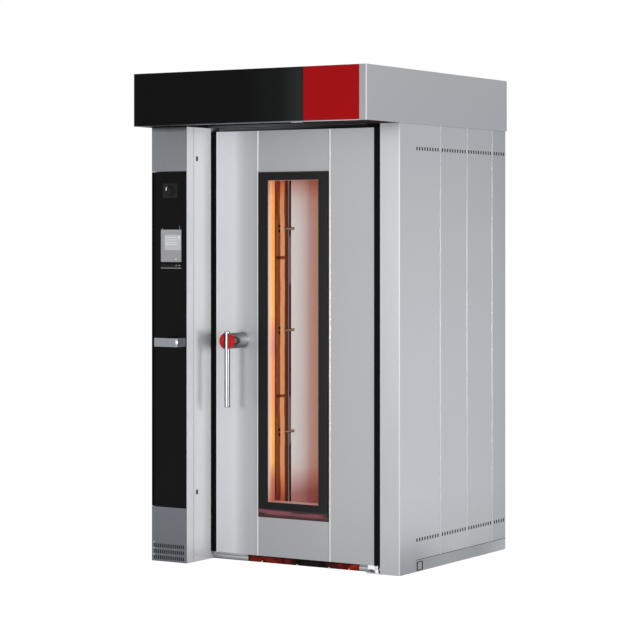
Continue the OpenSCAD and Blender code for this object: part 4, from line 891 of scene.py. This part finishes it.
# %% World and lamps
world = bpy.data.worlds.new("studio")
bpy.context.scene.world = world
world.use_nodes = True
tree = world.node_tree
room_light = 0.38
white = add(tree, "Background", {"Color": (1, 1, 1, 1), "Strength": 1.0})
room = tree.nodes["Background"]
room.inputs["Color"].default_value = (1, 1, 1, 1)
room.inputs["Strength"].default_value = room_light
world_mix = add(tree, "MixShader", {
    0: white_to_rays(tree), 1: room.outputs[0], 2: white.outputs[0],
})
tree.links.new(world_mix.outputs[0], tree.nodes["World Output"].inputs["Surface"])


def soft_lamp(name, place, target, size, power):
    """A large soft lamp that looks at a point."""
    data = bpy.data.lights.new(name, "AREA")
    data.size = size
    data.energy = power
    lamp = bpy.data.objects.new(name, data)
    lamp.location = place
    lamp.rotation_euler = (Vector(target) - Vector(place)).to_track_quat("-Z", "Y").to_euler()
    bpy.context.scene.collection.objects.link(lamp)
    return lamp


front_lamp = soft_lamp("front_lamp", (-0.2, -5.9, 1.2), (-0.2, 0, 1.1), 0.8, 125)
right_lamp = soft_lamp("right_lamp", (5.5, -1.75, 1.15), (0, -0.4, 1.1), 1.3, 205)
print("lamps", front_lamp.data.energy, right_lamp.data.energy)

# %% [markdown]
# ## Softened edges
# A folded sheet or a machined part never has a razor edge: a narrow bright line runs along it.
# The parts that show most are replaced by copies with that small round. Points in one place
# are merged first and flat faces joined, then a Bevel modifier rounds every edge that turns by
# more than 30 degrees.

# %% Softened copies
def softened(node, width, body):
    """A copy of a node with its sharp edges rounded by width, in place of the node."""
    copy = bpy.data.objects.new(node + "_soft", nodes[node].data.copy())
    bpy.context.scene.collection.objects.link(copy)
    mesh = bmesh.new()
    mesh.from_mesh(copy.data)
    bmesh.ops.remove_doubles(mesh, verts=mesh.verts, dist=0.00001)
    bmesh.ops.dissolve_limit(
        mesh, angle_limit=math.radians(1.0), verts=mesh.verts, edges=mesh.edges
    )
    mesh.to_mesh(copy.data)
    mesh.free()
    bevel = copy.modifiers.new("round", "BEVEL")
    bevel.width = width
    bevel.segments = 2
    bevel.limit_method = "ANGLE"
    bevel.angle_limit = math.radians(30)
    bevel.harden_normals = False
    finished = plain_mesh(copy)
    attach(finished, body)
    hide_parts(node)
    return finished


def plain_mesh(piece):
    """The piece with its modifiers worked into the mesh, so that nothing live is left."""
    graph = bpy.context.evaluated_depsgraph_get()
    solid = bpy.data.meshes.new_from_object(piece.evaluated_get(graph))
    piece.modifiers.clear()
    piece.data = solid
    return piece


soft_edges = [
    ("hood_black_glass", 0.0008, "casing"), ("hood_red_panel", 0.0008, "casing"),
    ("control_pull", 0.0012, "service_panel"), ("switch_plate", 0.0010, "service_panel"),
    ("switch_knob", 0.0006, "main_switch"), ("window_frame", 0.0015, "door"),
    ("handle_hub", 0.0012, "handle"), ("handle_cap", 0.0008, "handle"),
]
for node, width, body in soft_edges:
    made = softened(node, width, body)
    print(node, len(made.data.polygons), "faces")

# %% [markdown]
# ## Screws and rivets
# Screws repeat in rows, so one drawn head is enough for each kind. It is spun from the outline
# of its half section: a screw with a socket in its head, and a rivet with a plain dome.

# %% Screw and rivet heads
def spun(name, profile, steps=20):
    """A closed round head from a profile of (radius, height) points, standing on Z."""
    mesh = bmesh.new()
    rings = []
    for radius, height in profile:
        if radius == 0:
            rings.append([mesh.verts.new((0, 0, height))])
            continue
        turns = [2 * math.pi * i / steps for i in range(steps)]
        rings.append([
            mesh.verts.new((radius * math.cos(t), radius * math.sin(t), height)) for t in turns
        ])
    for low, high in zip(rings, rings[1:]):
        for i in range(steps):
            j = (i + 1) % steps
            if len(low) == 1:
                mesh.faces.new((low[0], high[j], high[i]))
            elif len(high) == 1:
                mesh.faces.new((low[i], low[j], high[0]))
            else:
                mesh.faces.new((low[i], low[j], high[j], high[i]))
    bmesh.ops.recalc_face_normals(mesh, faces=mesh.faces)
    data = bpy.data.meshes.new(name)
    mesh.to_mesh(data)
    mesh.free()
    return bpy.data.objects.new(name, data)


screw_head = spun("screw_head", [
    (0, -0.0005), (0.004, -0.0005), (0.004, 0.0008), (0.0036, 0.0016), (0.0026, 0.0022),
    (0.0016, 0.0023), (0.0015, 0.0010), (0, 0.0010),
])
rivet_head = spun("rivet_head", [
    (0, -0.0005), (0.005, -0.0005), (0.005, 0.0006), (0.0042, 0.0019), (0.0024, 0.0028),
    (0, 0.0031),
])
print("heads", len(screw_head.data.polygons), len(rivet_head.data.polygons))

# %% [markdown]
# ## A row of heads
# A loop could place every head, but one geometry node tree makes any row: it puts copies of a
# head on the points of a line. The tree's sizes are inputs, so the same tree serves the covers
# at the front and the long seams at the back.

# %% The row tree
def row_tree():
    """Geometry nodes: copies of a head from one point to another."""
    tree = bpy.data.node_groups.new("row_of_heads", "GeometryNodeTree")
    tree.is_modifier = True
    face = tree.interface
    face.new_socket("Geometry", in_out="INPUT", socket_type="NodeSocketGeometry")
    inputs = {"Head": "Object", "Count": "Int", "Start": "Vector", "End": "Vector",
              "Turn": "Vector", "Size": "Float", "Finish": "Material"}
    for name, kind in inputs.items():
        face.new_socket(name, in_out="INPUT", socket_type="NodeSocket" + kind)
    face.new_socket("Geometry", in_out="OUTPUT", socket_type="NodeSocketGeometry")
    inlet = tree.nodes.new("NodeGroupInput")
    outlet = tree.nodes.new("NodeGroupOutput")
    line = tree.nodes.new("GeometryNodeMeshLine")
    line.mode = "END_POINTS"
    head = tree.nodes.new("GeometryNodeObjectInfo")
    place = tree.nodes.new("GeometryNodeInstanceOnPoints")
    real = tree.nodes.new("GeometryNodeRealizeInstances")
    paint = tree.nodes.new("GeometryNodeSetMaterial")
    join = tree.links.new
    join(inlet.outputs["Count"], line.inputs["Count"])
    join(inlet.outputs["Start"], line.inputs["Start Location"])
    join(inlet.outputs["End"], line.inputs["Offset"])
    join(inlet.outputs["Head"], head.inputs["Object"])
    join(line.outputs["Mesh"], place.inputs["Points"])
    join(head.outputs["Geometry"], place.inputs["Instance"])
    join(inlet.outputs["Turn"], place.inputs["Rotation"])
    join(inlet.outputs["Size"], place.inputs["Scale"])
    join(place.outputs[0], real.inputs[0])
    join(real.outputs[0], paint.inputs["Geometry"])
    join(inlet.outputs["Finish"], paint.inputs["Material"])
    join(paint.outputs[0], outlet.inputs[0])
    return tree


rows = row_tree()


def heads(name, body, head, runs, turn, finish, size=1.0):
    """One mesh of heads for one body; runs are (start, end, count)."""
    parts = []
    for start, end, count in runs:
        holder = bpy.data.objects.new(name, bpy.data.meshes.new(name))
        bpy.context.scene.collection.objects.link(holder)
        modifier = holder.modifiers.new("row", "NODES")
        modifier.node_group = rows
        values = {"Head": head, "Count": count, "Start": start, "End": end, "Turn": turn,
                  "Size": size, "Finish": finish}
        for item in rows.interface.items_tree:
            if item.in_out == "INPUT" and item.name in values:
                modifier[item.identifier] = values[item.name]
        parts.append(plain_mesh(holder))
    mesh = bmesh.new()
    for part in parts:
        mesh.from_mesh(part.data)
    whole = bpy.data.meshes.new(name)
    mesh.to_mesh(whole)
    mesh.free()
    for part in parts:
        bpy.data.objects.remove(part)
    whole.materials.clear()
    whole.materials.append(finish)
    piece = bpy.data.objects.new(name, whole)
    bpy.context.scene.collection.objects.link(piece)
    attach(piece, body)
    return piece


def one_head(x, y, z):
    """A run of a single head."""
    return (x, y, z), (x, y, z), 1


facing_front = (math.radians(90), 0.0, 0.0)
facing_back = (math.radians(-90), 0.0, 0.0)
facing_right = (0.0, math.radians(90), 0.0)
print("row tree inputs", len(rows.interface.items_tree))

# %% [markdown]
# ## Where the heads go
# Three screws hold the louvred cover at its left edge, rivets hold the sweep under the door, and
# the panels at the back are screwed along their upright seams, as on any such oven.

# %% Rows of heads
cover_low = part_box("louvre_cover")[0]
cover_x, cover_y = cover_low.x + 0.012, cover_low.y
cover_run = ((cover_x, cover_y, 0.035), (cover_x, cover_y, 0.093), 3)
heads("cover_screws", "casing", screw_head, [cover_run], facing_front, bare_steel, 0.8)
rivet_x = (-0.1445, 0.0504, 0.2254, 0.3332)
rivet_y, rivet_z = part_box("door_sweep")[0].y + 0.0015, 0.005
sweep_runs = [one_head(x, rivet_y, rivet_z) for x in rivet_x]
heads("sweep_rivets", "door", rivet_head, sweep_runs, facing_front, bare_steel, 0.95)
rear_low, rear_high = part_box("rear_panels")
rear_y, row_foot, row_top = rear_high.y - 0.0004, 0.09, 2.02
rear_sheets, from_seam, rear_count = 3, 0.014, 9
sheet_width = (rear_high.x - rear_low.x) / rear_sheets
rear_runs = []
for k in range(rear_sheets):
    sheet_left, sheet_right = rear_low.x + k * sheet_width, rear_low.x + (k + 1) * sheet_width
    for x in (sheet_left + from_seam, sheet_right - from_seam):
        rear_runs.append(((x, rear_y, row_foot), (x, rear_y, row_top), rear_count))
heads("rear_screws", "casing", screw_head, rear_runs, facing_back, bare_steel)
clip_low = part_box("louvre_clips")[0]
clip_x, clip_y = clip_low.x + 0.003, clip_low.y + 0.018
clip_runs = [one_head(clip_x, clip_y, z) for z in clip_z]
heads("clip_screws", "casing", screw_head, clip_runs, facing_right, bare_steel, 0.7)
bolt_x, bolt_y, from_clip = -0.3670, 0.1700, 0.012
fold_bolts = [one_head(bolt_x, bolt_y, z + side) for z in clip_z for side in (-from_clip, from_clip)]
heads("fold_bolts", "casing", rivet_head, fold_bolts, facing_right, duct_black, 1.5)
print("rear screws", rear_count * len(rear_runs))

# %% [markdown]
# ## The screen
# The display shows a plain list: a light field with brighter lines and a darker field below with
# a small key. Two marks lie on the port strip, and three small lights sit above the screen. Thin
# plates, a fraction of a millimetre high, are enough, and they catch the light as a real panel
# does.

# %% Screen fields
def plates(name, boxes, finish, body):
    """Thin plates from (low corner, high corner) pairs, as one closed mesh each."""
    mesh = bmesh.new()
    for low, high in boxes:
        size = Vector(high) - Vector(low)
        centre = (Vector(high) + Vector(low)) / 2
        matrix = Matrix.Translation(centre) @ Matrix.Diagonal((*size, 1))
        bmesh.ops.create_cube(mesh, size=1.0, matrix=matrix)
    thin = min(min(Vector(high) - Vector(low)) for low, high in boxes)
    bmesh.ops.bevel(mesh, geom=list(mesh.edges), offset=thin * 0.3, segments=1, affect="EDGES")
    data = bpy.data.meshes.new(name)
    mesh.to_mesh(data)
    mesh.free()
    data.materials.append(finish)
    piece = bpy.data.objects.new(name, data)
    bpy.context.scene.collection.objects.link(piece)
    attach(piece, body)
    return piece


left, right, top = screen_low.x, screen_high.x, screen_high.z
glass_face = screen_low.y


def on_screen(x0, x1, z0, z1, high=0.0004):
    """A plate on the display, in shares of its width and in metres below its upper edge."""
    wide = right - left
    return ((left + x0 * wide, glass_face - high, top - z1), (left + x1 * wide, glass_face, top - z0))


lines = [on_screen(0.20, 0.80, z, z + 0.0045, 0.0008) for z in (0.034, 0.046, 0.058, 0.068)]
lines.append(on_screen(0.84, 0.96, 0.030, 0.044, 0.0008))
marks = [on_screen(0.72, 0.79, 0.167, 0.171), on_screen(0.86, 0.95, 0.167, 0.171)]
lights = [(left + 0.008, top + 0.006), (right - 0.010, top + 0.006), (right - 0.010, top + 0.014)]
for name, boxes, finish in (
    ("screen_light_field", [on_screen(0.19, 0.985, 0.024, 0.096)], screen_light),
    ("screen_lines", lines, screen_bright),
    ("screen_low_field", [on_screen(0.06, 0.985, 0.098, 0.148)], screen_dark),
    ("screen_keys", [on_screen(0.71, 0.78, 0.136, 0.142, 0.0008)], screen_bright),
    ("port_marks", marks, screen_dark),
    ("screen_lights", [
        ((x - 0.002, glass_face + 0.001, z - 0.002), (x + 0.002, glass_face + 0.0015, z + 0.002))
        for x, z in lights
    ], screen_dark),
):
    plates(name, boxes, finish, "service_panel")
print("screen", round(right - left, 3), "by", round(top - screen_low.z, 3))

# %% [markdown]
# ## The switch's mark
# A white mark on the knob shows which way the switch stands. It also stands for the small white
# highlight on the knob and glows a little: a painted highlight. It is two short bars, as thin as
# paint, and rides on the knob, so that it turns with it.

# %% Mark of the switch
knob_low, knob_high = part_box("switch_knob")
mark_x = knob_low.x + 0.3 * (knob_high.x - knob_low.x)
mark_z = knob_low.z + 0.66 * (knob_high.z - knob_low.z)
mark_back, mark_front = knob_low.y - 0.0004, knob_low.y + 0.0004
# The mark glows a little: a painted highlight.
mark_and_highlight = display("switch_mark_and_highlight", "D8DAD9", 0.1)
plates("switch_mark", [
    ((mark_x - 0.003, mark_back, mark_z - 0.007), (mark_x + 0.003, mark_front, mark_z + 0.001)),
    ((mark_x, mark_back, mark_z), (mark_x + 0.0045, mark_front, mark_z + 0.009)),
], mark_and_highlight, "main_switch")
print("mark at", round(mark_x, 3), round(mark_z, 3))

# %% [markdown]
# ## Painted shade behind the vents
# The vent slots look black, as the casing behind them lies in shade. That shade is put in as
# thin dark plates: one behind each side panel's two rows, and more behind the rows of the
# louvred cover and the slots of the column.

# %% Vent shade
side_low, side_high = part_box("right_side_panels")
panel_edges = [side_low.y + 0.0015, *seams, side_high.y]
vent_z, vent_x = (0.134, 1.927), (-0.6185, 0.6150)
vent_shade, shade_thick, shade_high, from_edge = [], 0.0035, 0.028, 0.024
for low, high in zip(panel_edges, panel_edges[1:]):
    for z in vent_z:
        for x in vent_x:
            vent_shade.append((
                (x, low + from_edge, z), (x + shade_thick, high - from_edge, z + shade_high),
            ))
# Dark plates of painted shade behind the vent rows.
plates("vent_gauze", vent_shade, body_enamel, "casing")
cover_rows = {0.010: -0.432, 0.038: -0.432, 0.066: -0.475}
row_left, row_high = -0.618, 0.022
cover_gauze = [
    ((row_left, cover_y + 0.006, z), (row_right, cover_y + 0.009, z + row_high))
    for z, row_right in cover_rows.items()
]
plates("cover_gauze", cover_gauze, body_enamel, "casing")
slot_z, slot_x = (0.316, 1.892), (-0.4265, -0.4240)
slot_gauze = [
    ((slot_x[0], post_seam + 0.016, z), (slot_x[1], post_seam + 0.040, z + 0.026))
    for z in slot_z
]
plates("slot_gauze", slot_gauze, body_enamel, "casing")
print("gauze strips", len(vent_shade) + len(cover_gauze) + len(slot_gauze))

# %% [markdown]
# ## Lip of the gap
# The louvred wall ends in a narrow pale lip at the black gap. The lip catches the lamps' light,
# so it is a strip of its own, one millimetre thick, that glows a little.

# %% Gap lip
lip_steel = display("gap_lip_steel", "B8A6A0", 0.3)
plates("gap_lip", [(
    (wall_high.x - 0.0115, gap_start - 0.0012, wall_low.z + 0.002),
    (wall_high.x - 0.0040, gap_start - 0.0002, wall_high.z - 0.002),
)], lip_steel, "casing")
print("gap lip at", round(gap_start, 3))

# %% [markdown]
# ## Gaskets and closing sheets
# The small lid in the kick plate and the joint over the plate are sealed with black rubber cord,
# which shows as a thin dark line. Folded sheets close the door's underside and top, so that its
# felt can't be seen, also when the door is open.

# %% Gaskets and closing sheets
kick_x, lid_y, lid_z = side_high.x - 0.0003, (-0.2075, -0.1575), (0.007, 0.048)
cord, corner_gap = 0.0030, 0.0001
cord_back, cord_face = kick_x - 0.001, kick_x + 0.0006
gaskets = [
    ((cord_back, lid_y[0], z), (cord_face, lid_y[1], z + cord))
    for z in (lid_z[0], lid_z[1] - cord)
]
side_foot, side_top = lid_z[0] + cord + corner_gap, lid_z[1] - cord - corner_gap
for y in (lid_y[0], lid_y[1] - cord):
    gaskets.append(((cord_back, y, side_foot), (cord_face, y + cord, side_top)))
joint_front, joint_foot, joint_top = -0.2165, 0.0562, 0.0578
gaskets.append(((kick_x - 0.004, joint_front, joint_foot), (kick_x, casing_rear, joint_top)))
gasket_rubber = coated("gasket_rubber", "2C2D2E", (0.6, 0.7), 0.06, 220.0)
plates("kick_gaskets", gaskets, gasket_rubber, "casing")
sheet = 0.0008
plates("door_under_sheet", [
    ((core_low.x, core_low.y, core_low.z - sheet), (core_high.x, core_high.y, core_low.z)),
], steel_service, "door")
arm_low, arm_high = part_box("door_hinge_blocks")
lid_end = arm_low.x - 0.0005
plates("door_top_sheet", [
    ((core_low.x, core_low.y, core_high.z), (lid_end, core_high.y, core_high.z + sheet)),
    ((lid_end, arm_high.y + 0.0005, core_high.z), (core_high.x, core_high.y, core_high.z + sheet)),
], steel_service, "door")
strip_steel = steel("drip_strip_steel", "A8AAAD", grain="X")
drip_end, drip_foot = -0.224, 0.0328
plates("drip_strip", [(
    (door_low.x + 0.004, door_low.y + 0.002, drip_foot),
    (drip_end, door_low.y + 0.003, door_low.z + 0.001),
)], strip_steel, "door")
print("under sheet", round(core_low.z, 4))

# %% [markdown]
# ## Lens under the hood's edge
# A small lens sits in the lip of the hood and lights the door. It is a flat moulded piece with
# its edge rounded.

# %% Lip lens
soffit_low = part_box("hood_soffit")[0]
lens_left, lens_right, lens_high = 0.235, 0.291, 0.002
lens_finish = display("lip_lens", "B9BCBD", 0.2)
plates("lip_lens", [(
    (lens_left, soffit_low.y + 0.001, soffit_low.z - lens_high),
    (lens_right, soffit_low.y + 0.016, soffit_low.z),
)], lens_finish, "casing")
print("lens at", round(soffit_low.z, 3))
